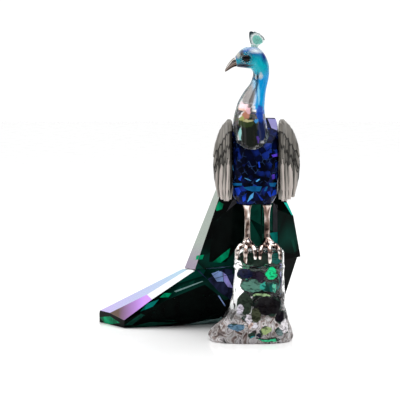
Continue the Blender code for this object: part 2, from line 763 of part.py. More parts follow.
def main():
    for old in list(bpy.data.objects):
        bpy.data.objects.remove(old)
    whole = bpy.data.objects.new("peacock", None)
    bpy.context.scene.collection.objects.link(whole)
    clear = material("clear_crystal", (0.9, 0.93, 0.92), 0.03, transmission=1.0)
    silver = material("silvered_metal", (0.78, 0.74, 0.7), 0.12, metallic=1.0)
    blue = material("dark_blue_crystal", (0.01, 0.02, 0.16), 0.05, transmission=0.6)
    sky = material("blue_tinted_glass", (0.25, 0.6, 0.9), 0.03, transmission=0.9)
    smoke = material("smoky_glass", (0.4, 0.38, 0.35), 0.04, transmission=0.9)
    mint = material("pale_mint_glass", (0.75, 0.95, 0.87), 0.04, transmission=0.9)
    black = material("black_glass", (0.01, 0.01, 0.012), 0.05)
    make_stump(clear)
    make_leg("leg_left", 1, silver)
    make_leg("leg_right", -1, silver)
    make_body(blue)
    make_neck(sky)
    make_beak(silver)
    make_eye("eye_left", 1, black)
    make_eye("eye_right", -1, black)
    make_crest(mint)
    make_wing("wing_left", 1, LEFT_WING_REACH, smoke)
    make_wing("wing_right", -1, RIGHT_WING_REACH, smoke)
    green = material("dark_green_crystal", (0.0, 0.07, 0.04), 0.05, transmission=0.6)
    make_tail_upper(green)
    make_tail_lower(green)


main()
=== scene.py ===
"""Dresses the CAD model of a cut-crystal peacock: finer glass, coated bevels, cast legs and a stage.

The bird faces -Y, its head is turned to -X and its train sweeps out to -X and +Y. Units are metres, +Z is up.
"""

import json
from math import cos, pi, radians, sin, sqrt

import bmesh
import bpy
from bpy.props import FloatProperty, FloatVectorProperty, PointerProperty
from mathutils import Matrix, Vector, noise
from mathutils.bvhtree import BVHTree

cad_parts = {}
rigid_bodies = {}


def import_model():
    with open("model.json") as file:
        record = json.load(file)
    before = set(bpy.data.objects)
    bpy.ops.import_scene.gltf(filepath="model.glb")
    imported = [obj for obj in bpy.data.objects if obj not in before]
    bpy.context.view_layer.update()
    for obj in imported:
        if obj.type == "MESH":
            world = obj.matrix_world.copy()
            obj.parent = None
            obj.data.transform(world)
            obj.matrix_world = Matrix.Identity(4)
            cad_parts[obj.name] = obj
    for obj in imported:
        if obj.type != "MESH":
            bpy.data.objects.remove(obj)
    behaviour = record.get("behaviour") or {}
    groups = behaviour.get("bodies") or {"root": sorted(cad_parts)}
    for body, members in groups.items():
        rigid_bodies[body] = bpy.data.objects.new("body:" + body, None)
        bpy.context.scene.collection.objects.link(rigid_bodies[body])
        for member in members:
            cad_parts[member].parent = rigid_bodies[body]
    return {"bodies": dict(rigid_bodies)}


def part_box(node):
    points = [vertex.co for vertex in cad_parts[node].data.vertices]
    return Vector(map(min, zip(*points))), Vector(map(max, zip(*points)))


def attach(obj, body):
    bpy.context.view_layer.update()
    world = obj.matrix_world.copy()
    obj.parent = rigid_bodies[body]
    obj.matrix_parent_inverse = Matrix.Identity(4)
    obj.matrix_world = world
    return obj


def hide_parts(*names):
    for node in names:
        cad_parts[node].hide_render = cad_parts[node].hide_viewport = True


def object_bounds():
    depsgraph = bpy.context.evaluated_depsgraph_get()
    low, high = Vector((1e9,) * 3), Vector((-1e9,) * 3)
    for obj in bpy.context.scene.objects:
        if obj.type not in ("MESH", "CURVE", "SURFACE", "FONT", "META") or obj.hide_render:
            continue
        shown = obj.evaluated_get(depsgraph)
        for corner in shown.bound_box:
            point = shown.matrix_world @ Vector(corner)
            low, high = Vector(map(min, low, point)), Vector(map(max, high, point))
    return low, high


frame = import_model()
CAD_LOW, CAD_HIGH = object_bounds()

# Noise vectors start from a seed, so that every run gives the same uneven edges
noise.seed_set(1)

bl_info = {
    "name": "Crystal Peacock",
    "version": (1, 0, 0),
    "blender": (4, 5, 0),
    "location": "View3D > Sidebar > Peacock",
    "description": "Builds a cut-crystal peacock on a clear glass stump",
    "category": "Add Mesh",
}

# Gap between neighbours where the real pieces are glued
GAP = 0.0003
# How near to a plane a corner counts as on it when a facet is cut
CUT_TOLERANCE = 1e-7

# The photo is a square of this many pixels
PHOTO_SIDE = 400
CAMERA_AT = Vector((-0.028, -0.9, 0.148))
CAMERA_AIM = Vector((-0.028, 0.0, 0.0775))
LENS = 147.7
SENSOR = 36.0

# Height as a share of the stump's, and how far the foot flares there from waist (0) to full (1)
STUMP_FLARE = (
    (0.0, 0.9), (0.03, 0.97), (0.06, 1.0), (0.13, 0.82), (0.21, 0.5), (0.34, 0.23), (0.5, 0.08), (0.72, 0.0),
    (1.0, 0.0),
)
# Radius of the stump's top edge, and how far right of its foot its waist stands
STUMP_RIM = 0.0035
STUMP_WAIST_RIGHT = 0.0047
STUMP_SQUARENESS = 2.5
STUMP_SIDES = 240
STUMP_RINGS = 130
# Height up to which the stump's foot is streaked with painted reflections, and how uneven that line is
STREAKED_HEIGHT = 0.0125
STREAKED_WAVER = 0.003
# Slots of the stump's and the neck's finishes, after the clear glass: the stump's foot streaked with painted
# reflections and its painted reflections of the train and the room; the neck's glue with painted reflections,
# its polished rim with a painted glint, and its enamel
STREAKED, PAINTED_REFLECTION = 1, 2
GLUED, RIM, ENAMELLED = 1, 2, 3
# How far the edges of patches of colour are pushed about, and how many times a metre
PATCH_WAVER = 0.0014
PATCH_WAVES = 210

# Degrees round from straight ahead and length of the part that bends down: inner, middle and outer toe
TOES = ((-22, 0.0056), (7, 0.0078), (42, 0.0058))
TOE_STEPS = 16
# Radii of a toe at its root and claw, and of a leg at its shank, thigh and foot
TOE_RADIUS, CLAW_RADIUS = 0.0015, 0.0008
SHANK, THIGH, PAD = 0.0015, 0.0024, 0.0026
# Height of the ankle over the stump, how far forward it stands, and the hind toe's length
ANKLE_UP = 0.0052
ANKLE_FORWARD = 0.002
HIND_TOE = 0.0052
# Size of the cells that fuse a leg and its toes
LEG_VOXEL = 0.00022

# Height, width, depth and set-forward shares of each row of the body's corners
BODY_ROWS = (
    (0.0, 0.68, 0.5, 0.07),
    (0.1, 0.87, 0.74, 0.04),
    (0.27, 0.98, 0.93, 0.0),
    (0.5, 1.0, 1.0, 0.0),
    (0.72, 1.0, 1.0, 0.0),
    (0.88, 0.92, 0.9, 0.0),
    (1.0, 0.8, 0.7, 0.0),
)
BODY_SIDES = 12
# How far behind the stump's middle the body's middle and the wings' front edges stand
BODY_BACK = 0.004
WING_FRONT = -0.0052
# Nearest that a wing comes to the body's middle and to its side, and the height of its seat as a share of
# the body's
WING_NEAREST = 0.0125
WING_SPARE = 0.0005
WING_UP = 0.42
# Height of the neck's seat as a share of the body's, width of its polished edge, and how far its flat and
# the others lean, in degrees
SEAT_UP = 0.65
SEAT_EDGE = 0.0004
SEAT_LEAN = 47
BODY_LEAN = 3
TRAIN_LEAN = 15.7
# Right end of the train, and how far behind the stump's middle its front stands at the joint
TRAIN_RIGHT = 0.029
TRAIN_FRONT = 0.0366

# How far out the wing's back edge stands, as a share of its reach, from the shoulder (0) to the tip (1)
WING_OUTLINE = ((0.0, 0.78), (0.06, 0.86), (0.22, 0.94), (0.38, 0.98), (0.62, 1.0), (0.86, 0.98), (1.0, 0.92))

# Back point and front point of each section of the neck, as shares of its height right of and above its seat,
# then half its depth, how far it sits back, and how far round from the nape the blue reaches (-1 to 1)
NECK_ROWS = (
    ((0.131, -0.1), (-0.208, -0.1), 0.165, -0.062, 2.0),
    ((0.131, 0.132), (-0.208, 0.132), 0.162, -0.062, 2.0),
    ((0.114, 0.229), (-0.214, 0.229), 0.155, -0.056, 2.0),
    ((0.101, 0.297), (-0.212, 0.297), 0.145, -0.05, 1.6),
    ((0.091, 0.384), (-0.19, 0.384), 0.128, -0.03, 0.3),
    ((0.095, 0.462), (-0.164, 0.462), 0.113, -0.015, 0.25),
    ((0.105, 0.559), (-0.106, 0.559), 0.09, 0.002, 0.1),
    ((0.12, 0.628), (-0.053, 0.628), 0.077, 0.012, -0.1),
    ((0.133, 0.69), (-0.028, 0.69), 0.077, 0.018, -0.4),
    ((0.138, 0.75), (-0.022, 0.74), 0.085, 0.018, -0.9),
    ((0.134, 0.815), (-0.042, 0.772), 0.092, 0.018, -1.2),
    ((0.109, 0.886), (-0.074, 0.778), 0.095, 0.018, -1.2),
    ((0.066, 0.95), (-0.101, 0.782), 0.095, 0.018, -1.1),
    ((0.01, 0.991), (-0.123, 0.785), 0.093, 0.018, -1.2),
    ((-0.051, 1.0), (-0.141, 0.787), 0.088, 0.018, -1.2),
    ((-0.1, 0.985), (-0.154, 0.789), 0.079, 0.018, -1.2),
    ((-0.149, 0.955), (-0.165, 0.79), 0.066, 0.018, -1.2),
    ((-0.196, 0.9), (-0.175, 0.791), 0.051, 0.018, -1.2),
)
CROWN_ROW = 13
# Rows between which the nape's blue turns into the head's enamel
ENAMEL_ROWS = (8.0, 10.5)
# How far the head sits back, and half its width across the eyes, as shares of the neck's height
HEAD_BACK = 0.018
HEAD_HALF = 0.078
# Place of the crest's foot from side to side and how far it is below the crown, as shares of the neck's
# height; its width and thickness there, and how far its top leans
CREST_ACROSS = -0.008
CREST_DROP = 0.004
CREST_FOOT = 0.0036
CREST_THICK = 0.0024
CREST_LEAN = 0.0014
# How far an eye stone stands out, half its height, and the radius of its lid and how far out that runs
EYE_DOME = 0.0013
EYE_HALF_HEIGHT = 0.0019
LID_THICK = 0.00038
LID_OUT = 0.0007
# Half height and half width of the beak at the head, and how far its tip hangs
BEAK_HALF_HEIGHT = 0.0027
BEAK_HALF_WIDTH = 0.0023
BEAK_HANG = 0.004
# How finely the neck is divided along each row and round it
NECK_STEPS = 9
NECK_SIDES = 144

# Corners of the tail's lower piece: left and back as shares of its sweep and depth, up as a share of the
# joint's height
LOWER_CORNERS = {
    "root outer": (0.566, 0.208, 0.925),
    "root middle": (0.541, 0.123, 0.924),
    "root inner": (0.502, 0.042, 0.9325),
    "bend outer": (0.752, 0.161, 0.507),
    "bend inner": (0.728, 0.046, 0.4515),
    "tip outer": (0.997, 0.486, 0.196),
    "tip middle": (0.942, 0.295, 0.194),
    "tip inner": (0.884, 0.0425, 0.0835),
    "tip foot": (0.957, 0.398, 0.02),
    "keel top": (0.464, -0.002, 0.75),
    "keel foot": (0.36, 0.118, 0.314),
    "sole left": (0.673, 0.192, 0.0),
    "sole rise": (0.414, 0.178, 0.176),
    "front middle": (0.321, 0.0, 1.016),
    "right front": (0.069, 0.12, 1.07),
    "right back": (0.005, 0.268, 1.058),
    "right foot": (0.062, 0.428, 0.423),
    "heel left": (0.85, 0.64, 0.0),
    "heel right": (0.15, 0.7, 0.0),
    "back middle": (0.4, 0.68, 0.6),
    "core": (0.45, 0.35, 0.4),
}
# Flats of the lower piece, each through three corners, with its finish
LOWER_FLATS = (
    ("sky coat", "root outer", "tip outer", "tip middle"),
    ("white coat", "root middle", "bend outer", "root inner"),
    ("violet coat", "bend outer", "bend inner", "tip middle"),
    ("green", "root inner", "bend inner", "tip inner"),
    ("green", "keel top", "tip inner", "sole left"),
    ("green", "keel top", "front middle", "keel foot"),
    ("green", "front middle", "right front", "keel foot"),
    ("green", "right front", "right foot", "keel foot"),
    ("green", "right front", "right back", "right foot"),
    ("green", "sole left", "sole rise", "heel right"),
    ("green", "tip outer", "tip middle", "tip foot"),
    ("green", "root outer", "tip outer", "heel left"),
    ("green", "right back", "right foot", "heel right"),
    ("green", "heel left", "heel right", "back middle"),
)
# Corners of the upper piece: left and back of the leaning front as shares of sweep and depth, and up as a
# share of the way from the joint to the top
UPPER_CORNERS = {
    "strip top": (0.394, 0.0, 0.54),
    "strip foot": (0.514, 0.0, -0.037),
    "left top": (0.408, 0.12, 0.567),
    "left foot": (0.566, 0.2, -0.037),
    "crease top": (0.111, 0.0, 0.437),
    "crease foot": (0.106, 0.0, 0.142),
    "right top": (0.057, 0.2, 0.523),
    "right middle": (0.029, 0.17, 0.376),
    "right foot": (0.018, 0.28, 0.03),
    "ridge foot": (0.25, 0.5, 0.0),
    "core": (0.25, 0.2, 0.2),
}
UPPER_FLATS = (
    ("grey coat", "strip top", "strip foot", "left foot"),
    ("green", "left top", "left foot", "ridge foot"),
    ("green", "crease top", "crease foot", "right middle"),
    ("green", "crease top", "right top", "right middle"),
    ("green", "right middle", "right foot", "ridge foot"),
)
# The studio's walls: from each bearing in degrees on (0 in front, -90 at the left), the colour of the light
DIM = (0.1, 0.1, 0.105)
STUDIO_LOW = (
    (-180, (1.0, 1.0, 1.0)),
    (-104, DIM),
    (-72, (1.1, 1.1, 1.1)),
    (-60, DIM),
    (-50, (0.75, 0.68, 0.75)),
    (-34, DIM),
    (14, (0.4, 0.28, 0.25)),
    (19, DIM),
    (52, (0.95, 0.95, 1.0)),
    (64, DIM),
    (104, (1.0, 1.0, 1.0)),
)
STUDIO_MIDDLE = (
    (-180, (0.95, 0.95, 0.95)),
    (-130, DIM),
    (-118, (1.3, 1.3, 1.3)),
    (-62, DIM),
    (40, (0.9, 0.9, 0.9)),
    (62, DIM),
    (118, (0.95, 0.95, 0.95)),
)
# Colours along a noise: painted reflections in the stump's foot and in the glue under the neck. Painted
# light and shade along a shade on the beak, and colours along a shade on the crest
FOOT_REFLECTION_STREAKS = (
    (0.3, (0.08, 0.045, 0.04)),
    (0.38, (0.42, 0.3, 0.27)),
    (0.45, (1.0, 0.98, 0.98)),
    (0.52, (0.3, 0.22, 0.2)),
    (0.58, (1.0, 0.98, 1.0)),
    (0.66, (0.75, 0.68, 0.7)),
    (0.74, (0.04, 0.04, 0.035)),
)
GLUE_DARK_REFLECTIONS = (
    (0.36, (0.004, 0.006, 0.02)),
    (0.5, (0.012, 0.02, 0.012)),
    (0.62, (0.006, 0.01, 0.06)),
    (0.72, (0.1, 0.05, 0.36)),
)
GLUE_BRIGHT_REFLECTIONS = (
    (0.34, (0.7, 0.68, 0.35)),
    (0.44, (0.85, 0.35, 0.25)),
    (0.5, (0.9, 0.6, 0.6)),
    (0.56, (0.25, 0.3, 0.08)),
    (0.66, (0.9, 0.88, 0.75)),
)
BEAK_LIGHT_AND_SHADE = (
    (0.08, (0.05, 0.035, 0.028)),
    (0.38, (0.12, 0.09, 0.075)),
    (0.6, (0.4, 0.34, 0.3)),
    (0.78, (0.8, 0.76, 0.72)),
    (0.96, (0.35, 0.33, 0.3)),
)
CREST_RIM = (
    (0.1, (0.03, 0.05, 0.06)),
    (0.2, (0.16, 0.24, 0.24)),
    (0.32, (0.8, 0.88, 0.88)),
    (0.44, (0.85, 0.95, 0.94)),
)
# Where each tone of a crystal's mosaic of painted reflections begins, from darkest to brightest, and how
# bright it is in each crystal; then the size of the mosaic's cells
REFLECTION_MOSAIC_STEPS = (0.0, 0.3, 0.5, 0.62, 0.78)
BODY_REFLECTION_TONES = (0.006, 0.018, 0.045, 0.1, 0.36)
TRAIN_REFLECTION_TONES = (0.0005, 0.001, 0.003, 0.01, 0.05)
BODY_CELL = 0.0034
TRAIN_CELL = 0.009
# Painted glints and reflections on facets: name, colour, and how dark its streaks are
BODY_GLINTS = (
    ("sea", (0.004, 0.1, 0.27), 0.6),
    ("sky", (0.09, 0.38, 0.75), 0.35),
    ("cobalt", (0.01, 0.05, 0.5), 0.35),
    ("violet", (0.1, 0.05, 0.62), 0.35),
    ("lavender", (0.36, 0.33, 0.66), 0.8),
)
TRAIN_GLINTS = (
    ("emerald", (0.0, 0.32, 0.14), 0.35),
    ("teal", (0.003, 0.2, 0.17), 0.35),
    ("forest", (0.003, 0.045, 0.03), 0.5),
    ("slate", (0.035, 0.035, 0.04), 0.7),
    ("night", (0.02, 0.025, 0.07), 0.2),
    ("black", (0.0012, 0.003, 0.0025), 0.3),
    ("steel", (0.28, 0.42, 0.8), 0.6),
    ("lilac", (0.36, 0.33, 0.8), 0.6),
    ("mist", (0.22, 0.36, 0.35), 0.6),
)
# Slots of the body's and the train's crystals, in order
BODY_FINISHES = ["blue", *(row[0] for row in BODY_GLINTS)]
TRAIN_COATS = ["green", "sky coat", "white coat", "violet coat", "grey coat"]
TRAIN_FINISHES = [*TRAIN_COATS, "mint", *(row[0] for row in TRAIN_GLINTS)]
# Patches of colour on the head and over the neck's seat: colour, the photo's pixel at the middle, and half
# width and half height in pixels. On the head most are painted highlights and reflections: white on the
# crown, light cyan down the neck, a pale and dark crescent at its top and a turquoise glint on the cheek.
# Over the seat they are painted reflections seen through the glass.
HEAD_COLOUR_AND_HIGHLIGHT_PATCHES = (
    ((0.0, 0.5, 0.6), (259, 66), (7, 7)),
    ((0.004, 0.02, 0.2), (264.5, 54), (2.2, 6.5)),
    ((0.72, 0.8, 0.85), (255.5, 51), (4.5, 1.9)),
    ((0.5, 0.5, 0.45), (238, 55), (2.2, 2.6)),
    ((0.08, 0.07, 0.06), (242, 54.5), (1.4, 3.0)),
    ((0.002, 0.01, 0.03), (244, 65.5), (6, 1.0)),
    ((0.3, 0.75, 0.95), (258.3, 94), (0.8, 7)),
    ((0.6, 0.7, 0.75), (260.5, 76), (1.4, 2.4)),
    ((0.02, 0.02, 0.03), (257.5, 76.5), (1.0, 2.8)),
)
SEAT_REFLECTION_PATCHES = (
    ((0.012, 0.016, 0.012), (251, 134), (12, 14)),
    ((0.008, 0.016, 0.08), (262, 130), (4.5, 12)),
    ((0.4, 0.8, 0.76), (240, 134), (1.8, 7)),
    ((0.1, 0.05, 0.36), (258, 139), (1.3, 3)),
    ((0.03, 0.05, 0.015), (246, 123), (8, 4)),
    ((0.55, 0.52, 0.26), (248, 121), (5, 1.4)),
    ((0.5, 0.2, 0.12), (245.5, 115), (4, 4)),
    ((0.8, 0.45, 0.5), (248.5, 110.5), (2.4, 3)),
    ((0.4, 0.42, 0.12), (242, 118.5), (2.2, 2.2)),
    ((0.8, 0.82, 0.88), (253, 107), (2.4, 1.2)),
    ((0.008, 0.06, 0.42), (260, 114), (4, 8)),
    ((0.04, 0.3, 0.75), (256.5, 121), (1.8, 2)),
)
# Share of the way from an inlay's middle to its corners at which the flats under it are looked for
INLAY_REACH = 0.85
# Small facets painted with glints and dark reflections: finish, then the photo's pixel at each corner
BODY_GLINT_FACETS = (
    ("sea", (232, 183), (242, 183.2), (242, 185.6), (233, 185.8)),
    ("sea", (243, 187.4), (252, 186.2), (268, 186.6), (266, 191), (253, 191.6), (247, 190)),
    ("sea", (269, 183), (279, 182.5), (279, 187), (270, 186.4)),
    ("sky", (247, 202.5), (249.5, 196), (254, 192.2), (253, 197.5)),
    ("cobalt", (234.5, 188), (239, 187.6), (241.5, 192.3), (238, 195.5)),
    ("cobalt", (256.5, 192.4), (263.5, 200), (261, 200.6)),
    ("cobalt", (242, 197), (246.5, 193), (245.5, 200.5), (243, 202)),
    ("cobalt", (267, 192), (276, 189.5), (277, 194), (270, 197)),
    ("violet", (271.5, 155), (278, 153.3), (278, 156.3), (273, 157.2)),
    ("cobalt", (275.3, 163), (277.7, 161.5), (277.7, 166), (275.3, 168)),
    ("violet", (271.5, 175), (274.5, 174), (275, 178.5), (272, 179.5)),
    ("sky", (232, 164), (233, 165.5), (233.8, 171), (232.6, 169.5)),
    ("sky", (244, 177.8), (248, 178.7), (251.6, 181), (247.5, 180)),
    ("sky", (255.5, 181.3), (259, 178.8), (260.3, 179.2), (257, 182)),
    ("cobalt", (258, 162), (259.5, 161.5), (260.4, 167), (259, 168)),
    ("cobalt", (238, 179), (242, 175.5), (240.5, 181)),
    ("lavender", (267.5, 118.5), (276.5, 119), (277.5, 130.5), (271.5, 128)),
)
LOWER_GLINT_FACETS = (
    ("night", (196, 269.5), (233, 268.8), (236, 284), (231, 300), (219, 292), (208, 280)),
    ("steel", (211.5, 273.5), (218.5, 270.8), (222.5, 272), (223.5, 281.5), (217, 281.5)),
    ("lilac", (223, 272.2), (226.5, 275), (233, 288), (228, 287), (224, 281.5)),
    ("steel", (218, 296), (219, 295.2), (225.5, 305.5), (225, 306.5)),
    ("steel", (206, 268), (236, 265.6), (236, 266.9), (206, 269)),
    ("emerald", (159.5, 297.5), (164.5, 293.2), (172, 293), (168.5, 297.2)),
    ("forest", (172, 293), (182, 285), (195, 280), (193, 284), (178, 292)),
    ("mist", (174, 291.2), (203, 280.6), (204, 281.2), (176, 292.2)),
    ("teal", (140.5, 311.5), (146.5, 304), (159, 299.3), (153, 306.5)),
    ("emerald", (99.5, 317.2), (110, 316.2), (120, 323), (106, 324.6)),
    ("forest", (124, 325.5), (141, 313.5), (145, 315), (132, 325)),
    ("mist", (180, 325.8), (222, 317), (226, 320), (205, 326.2)),
    ("forest", (128, 327.5), (150, 322), (180, 322.5), (150, 326.5)),
    ("black", (150, 318.5), (162, 302), (206, 284), (217, 294), (230, 304), (222, 314), (186, 321)),
    ("emerald", (265, 267), (279, 267), (280, 284), (265, 282)),
    ("teal", (240, 280), (262, 284), (258, 297), (242, 294)),
)
UPPER_GLINT_FACETS = (
    ("emerald", (215, 208), (219, 201.5), (223.5, 204), (222, 209), (216.5, 211)),
    ("slate", (226.5, 211.5), (233, 199.5), (241, 199.5)),
    ("black", (213, 222), (222, 214), (241, 203), (246, 212), (244, 238), (226, 262), (209, 262)),
    ("forest", (250, 203), (261, 203), (261, 262), (250, 262)),
    ("slate", (273, 203), (277.5, 205), (277.5, 232), (273, 232)),
    ("teal", (269.5, 233), (277.8, 232), (277.8, 246.5), (275, 246)),
    ("forest", (262, 203), (272.5, 203), (272.5, 231), (262, 243)),
    ("emerald", (230.5, 247.8), (228, 257), (220.5, 263), (212.5, 262)),
    ("emerald", (196.5, 255.6), (204, 254.8), (202.5, 259.2), (195.5, 259.8)),
    ("mint", (284, 202.5), (289.5, 202.5), (294, 216.5), (291, 214)),
    ("forest", (291, 240), (293.5, 239), (297, 251), (294.5, 252)),
)
# Painted reflections of the train's greens and the room's whites in the stump's glass, in the same columns
STUMP_REFLECTION_PATCHES = (
    ((0.012, 0.03, 0.02), (258, 259), (21, 6)),
    ((0.01, 0.13, 0.11), (276, 259), (6, 6)),
    ((0.008, 0.012, 0.045), (246, 274), (9, 5)),
    ((0.02, 0.014, 0.03), (259, 276), (7, 5)),
    ((0.11, 0.27, 0.21), (252, 286), (11.5, 6.5)),
    ((0.04, 0.42, 0.33), (263, 285), (3, 4.5)),
    ((0.01, 0.78, 0.3), (271.8, 274), (5.4, 7)),
    ((0.12, 0.62, 0.42), (274.5, 289), (1.8, 5)),
    ((0.03, 0.045, 0.032), (245, 304), (8, 11)),
    ((0.01, 0.009, 0.011), (268, 306), (14, 9.5)),
    ((0.4, 0.6, 0.3), (262, 295), (9, 1.8)),
    ((0.008, 0.006, 0.01), (281.5, 317), (6, 6.5)),
    ((0.72, 0.68, 0.78), (240, 310), (4.5, 5)),
    ((0.8, 0.75, 0.82), (248, 319), (5, 4)),
    ((0.85, 0.62, 0.55), (250.5, 325.5), (3, 3)),
    ((0.8, 0.78, 0.85), (255, 326), (3, 2.4)),
    ((0.1, 0.2, 0.3), (236, 327), (9, 4.5)),
    ((0.06, 0.07, 0.04), (256, 315), (5, 8)),
    ((0.36, 0.47, 0.2), (266, 330), (6.5, 4)),
    ((0.02, 0.25, 0.27), (252, 336), (4, 2.6)),
    ((0.02, 0.02, 0.04), (259, 335.5), (3, 2.6)),
    ((0.04, 0.66, 0.3), (268, 339.5), (12, 1.7)),
    ((0.18, 0.27, 0.27), (279, 332), (4, 4.5)),
    ((0.88, 0.84, 0.88), (285, 327), (4, 5.5)),
)


def box_size(node):
    low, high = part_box(node)
    return high - low


def length(name, description, default):
    return FloatProperty(
        name=name,
        description=description,
        default=default,
        min=0.0,
        precision=4,
        unit="LENGTH",
        subtype="DISTANCE",
    )


def tone(name, description, default):
    return FloatVectorProperty(
        name=name,
        description=description,
        default=default,
        min=0.0,
        max=1.0,
        size=3,
        subtype="COLOR",
    )


class PeacockSizes(bpy.types.PropertyGroup):
    """Main sizes of the figurine."""

    stump_height: length("Stump height", "From the ground to the stump's top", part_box("stump")[1].z)
    stump_foot_width: length("Stump foot width", "Across the flared foot", box_size("stump").x)
    stump_foot_depth: length("Stump foot depth", "Front to back of the flared foot", box_size("stump").y)
    stump_waist_width: length("Stump waist width", "Across the waist", 0.0272)
    stump_waist_depth: length("Stump waist depth", "Front to back of the waist", 0.0205)
    leg_length: length("Leg length", "From the stump's top to the body's underside", 0.024)
    leg_spacing: length("Leg spacing", "Between the legs' middles", 0.0108)
    leg_set_right: length("Legs set right", "How far right of the body's middle the legs stand", 0.0012)
    body_height: length("Body height", "From its underside to its top", 0.047)
    body_width: length("Body width", "Across the widest row of corners", 0.0286)
    body_depth: length("Body depth", "Front to back of the widest row of corners", 0.033)
    body_set_right: length("Body set right", "How far the body stands right of the stump's foot", 0.0022)
    neck_height: length("Neck height", "From the seat's front edge to the crown", 0.056)
    beak_length: length("Beak length", "From the head to the beak's tip", 0.007)
    eye_length: length("Eye length", "Along the eye", 0.0046)
    crest_width: length("Crest width", "Across the fan", 0.0084)
    crest_height: length("Crest height", "From the crown to the fan's top", 0.0085)
    wing_length: length("Wing length", "From shoulder to tip", 0.0445)
    wing_width: length("Wing width", "From the wing's front edge to its back edge", 0.0165)
    left_wing_reach: length("Left wing reach", "How far the left wing stands out", 0.0253)
    right_wing_reach: length("Right wing reach", "How far the right wing stands out", 0.0229)
    tail_length: length("Train length", "From its right end to its tip, across", 0.1166)
    tail_depth: length("Train depth", "Front to back", 0.05)
    tail_joint: length("Train joint height", "Where the train's two pieces meet", 0.0372)
    facet_edge: length("Facet edge", "Width of the polished edge between facets", 0.00016)


class PeacockColours(bpy.types.PropertyGroup):
    """Main colours of the figurine."""

    clear: tone("Clear glass", "Tint of the clear glass", (0.96, 0.975, 0.97))
    nape: tone("Nape blue", "Tint down the back of the neck", (0.0, 0.36, 0.8))
    cheek: tone("Head teal", "Tint of the head", (0.005, 0.33, 0.46))
    mint: tone("Crest mint", "Tint of the crest", (0.26, 0.7, 0.6))
    smoke: tone("Wing smoke", "Tint of the wings", (0.5, 0.47, 0.42))
    # The brightest tones of the crystals' mosaics of painted reflections
    body: tone("Body crystal", "Brightest blue in the body", (0.02, 0.07, 0.62))
    train: tone("Train crystal", "Brightest green in the train", (0.02, 0.85, 0.6))
    silver: tone("Silver", "Plated legs and beak", (0.68, 0.61, 0.56))
    sky_coat: tone("Sky coating", "Upper bevel of the train", (0.48, 0.7, 0.88))
    violet_coat: tone("Violet coating", "Outer bevel of the train", (0.62, 0.3, 0.95))
    grey_coat: tone("Grey coating", "Left bevel of the upper train", (0.38, 0.44, 0.39))
    # A painted glint on a small facet at the upper train's right corner
    glint_mint: tone("Bright mint", "Facet at the upper train's right corner", (0.02, 0.66, 0.52))
    floor: tone("Floor", "The table under the figurine", (0.94, 0.94, 0.94))


def sizes():
    return bpy.context.scene.peacock_sizes


def colours():
    return bpy.context.scene.peacock_colours


def camera_axes():
    """The way the camera looks, and its right and up directions, as long as a pixel is wide at distance 1."""
    ahead = (CAMERA_AIM - CAMERA_AT).normalized()
    right = ahead.cross(Vector((0.0, 0.0, 1.0))).normalized()
    pixel = SENSOR / LENS / PHOTO_SIDE
    return ahead, right * pixel, right.cross(ahead) * pixel


def pixel_ray(pixel):
    """The way from the camera through a pixel of the photo."""
    ahead, right, up = camera_axes()
    return (ahead + (pixel[0] - PHOTO_SIDE / 2) * right + (PHOTO_SIDE / 2 - pixel[1]) * up).normalized()


def pixel_of(point):
    """The pixel of the photo that shows a point."""
    ahead, right, up = camera_axes()
    away = point - CAMERA_AT
    away /= away.dot(ahead)
    across = away.dot(right) / right.length_squared
    rise = away.dot(up) / up.length_squared
    return PHOTO_SIDE / 2 + across, PHOTO_SIDE / 2 - rise


def in_patch(point, patches):
    """Whether the camera sees a point inside one of a table's patches, whose edges are uneven."""
    across, down = pixel_of(point + PATCH_WAVER * noise.noise_vector(point * PATCH_WAVES))
    return any(
        ((across - x) / wide) ** 2 + ((down - y) / tall) ** 2 < 1 for colour, (x, y), (wide, tall) in patches
    )


def pixel_point(pixel, back):
    """The point that a pixel of the photo shows at a place behind the origin."""
    ray = pixel_ray(pixel)
    return CAMERA_AT + ray * ((back - CAMERA_AT.y) / ray.y)


# Materials


def fill(tree, socket, value):
    """Links a node's output to a socket, or sets the socket's own value."""
    if isinstance(value, bpy.types.NodeSocket):
        tree.links.new(value, socket)
    else:
        socket.default_value = value


def add_node(tree, kind, settings=None, **sockets):
    """Adds a shader node, sets its fields and fills its sockets, named with _ for a space."""
    made = tree.nodes.new(kind)
    for field, value in (settings or {}).items():
        setattr(made, field, value)
    for name, value in sockets.items():
        fill(tree, made.inputs[name.replace("_", " ")], value)
    return made


def worked_out(tree, operation, *values, kind="Math"):
    """What a Math node makes of some values, or a VectorMath node of some vectors."""
    made = add_node(tree, "ShaderNode" + kind, {"operation": operation})
    for socket, value in zip(made.inputs, values):
        fill(tree, socket, value)
    return made.outputs[0]


def wavered(tree, value, noise_value, amount):
    """A value made uneven by a noise."""
    return worked_out(tree, "MULTIPLY_ADD", noise_value, amount, value)


def spread(tree, value, low, high, to_low=0.0, to_high=1.0):
    """A value moved from one range to another, and held inside it."""
    made = add_node(
        tree, "ShaderNodeMapRange", Value=value, From_Min=low, From_Max=high, To_Min=to_low, To_Max=to_high
    )
    return made.outputs["Result"]


def ramp(tree, factor, *stops, steps="LINEAR"):
    """A colour ramp with (place, colour) stops."""
    made = add_node(tree, "ShaderNodeValToRGB", Fac=factor)
    made.color_ramp.interpolation = steps
    elements = made.color_ramp.elements
    while len(elements) < len(stops):
        elements.new(1.0)
    for element, (at, colour) in zip(elements, stops):
        element.position = at
        element.color = (*colour, 1.0)
    return made.outputs["Color"]


def mixed(tree, factor, first, second):
    """One colour fading into another, by a Mix node's colour sockets."""
    made = add_node(tree, "ShaderNodeMix", {"data_type": "RGBA"})
    fill(tree, made.inputs[0], factor)
    for index, colour in ((6, first), (7, second)):
        linked = isinstance(colour, bpy.types.NodeSocket)
        fill(tree, made.inputs[index], colour if linked else (*colour, 1.0))
    return made.outputs[2]


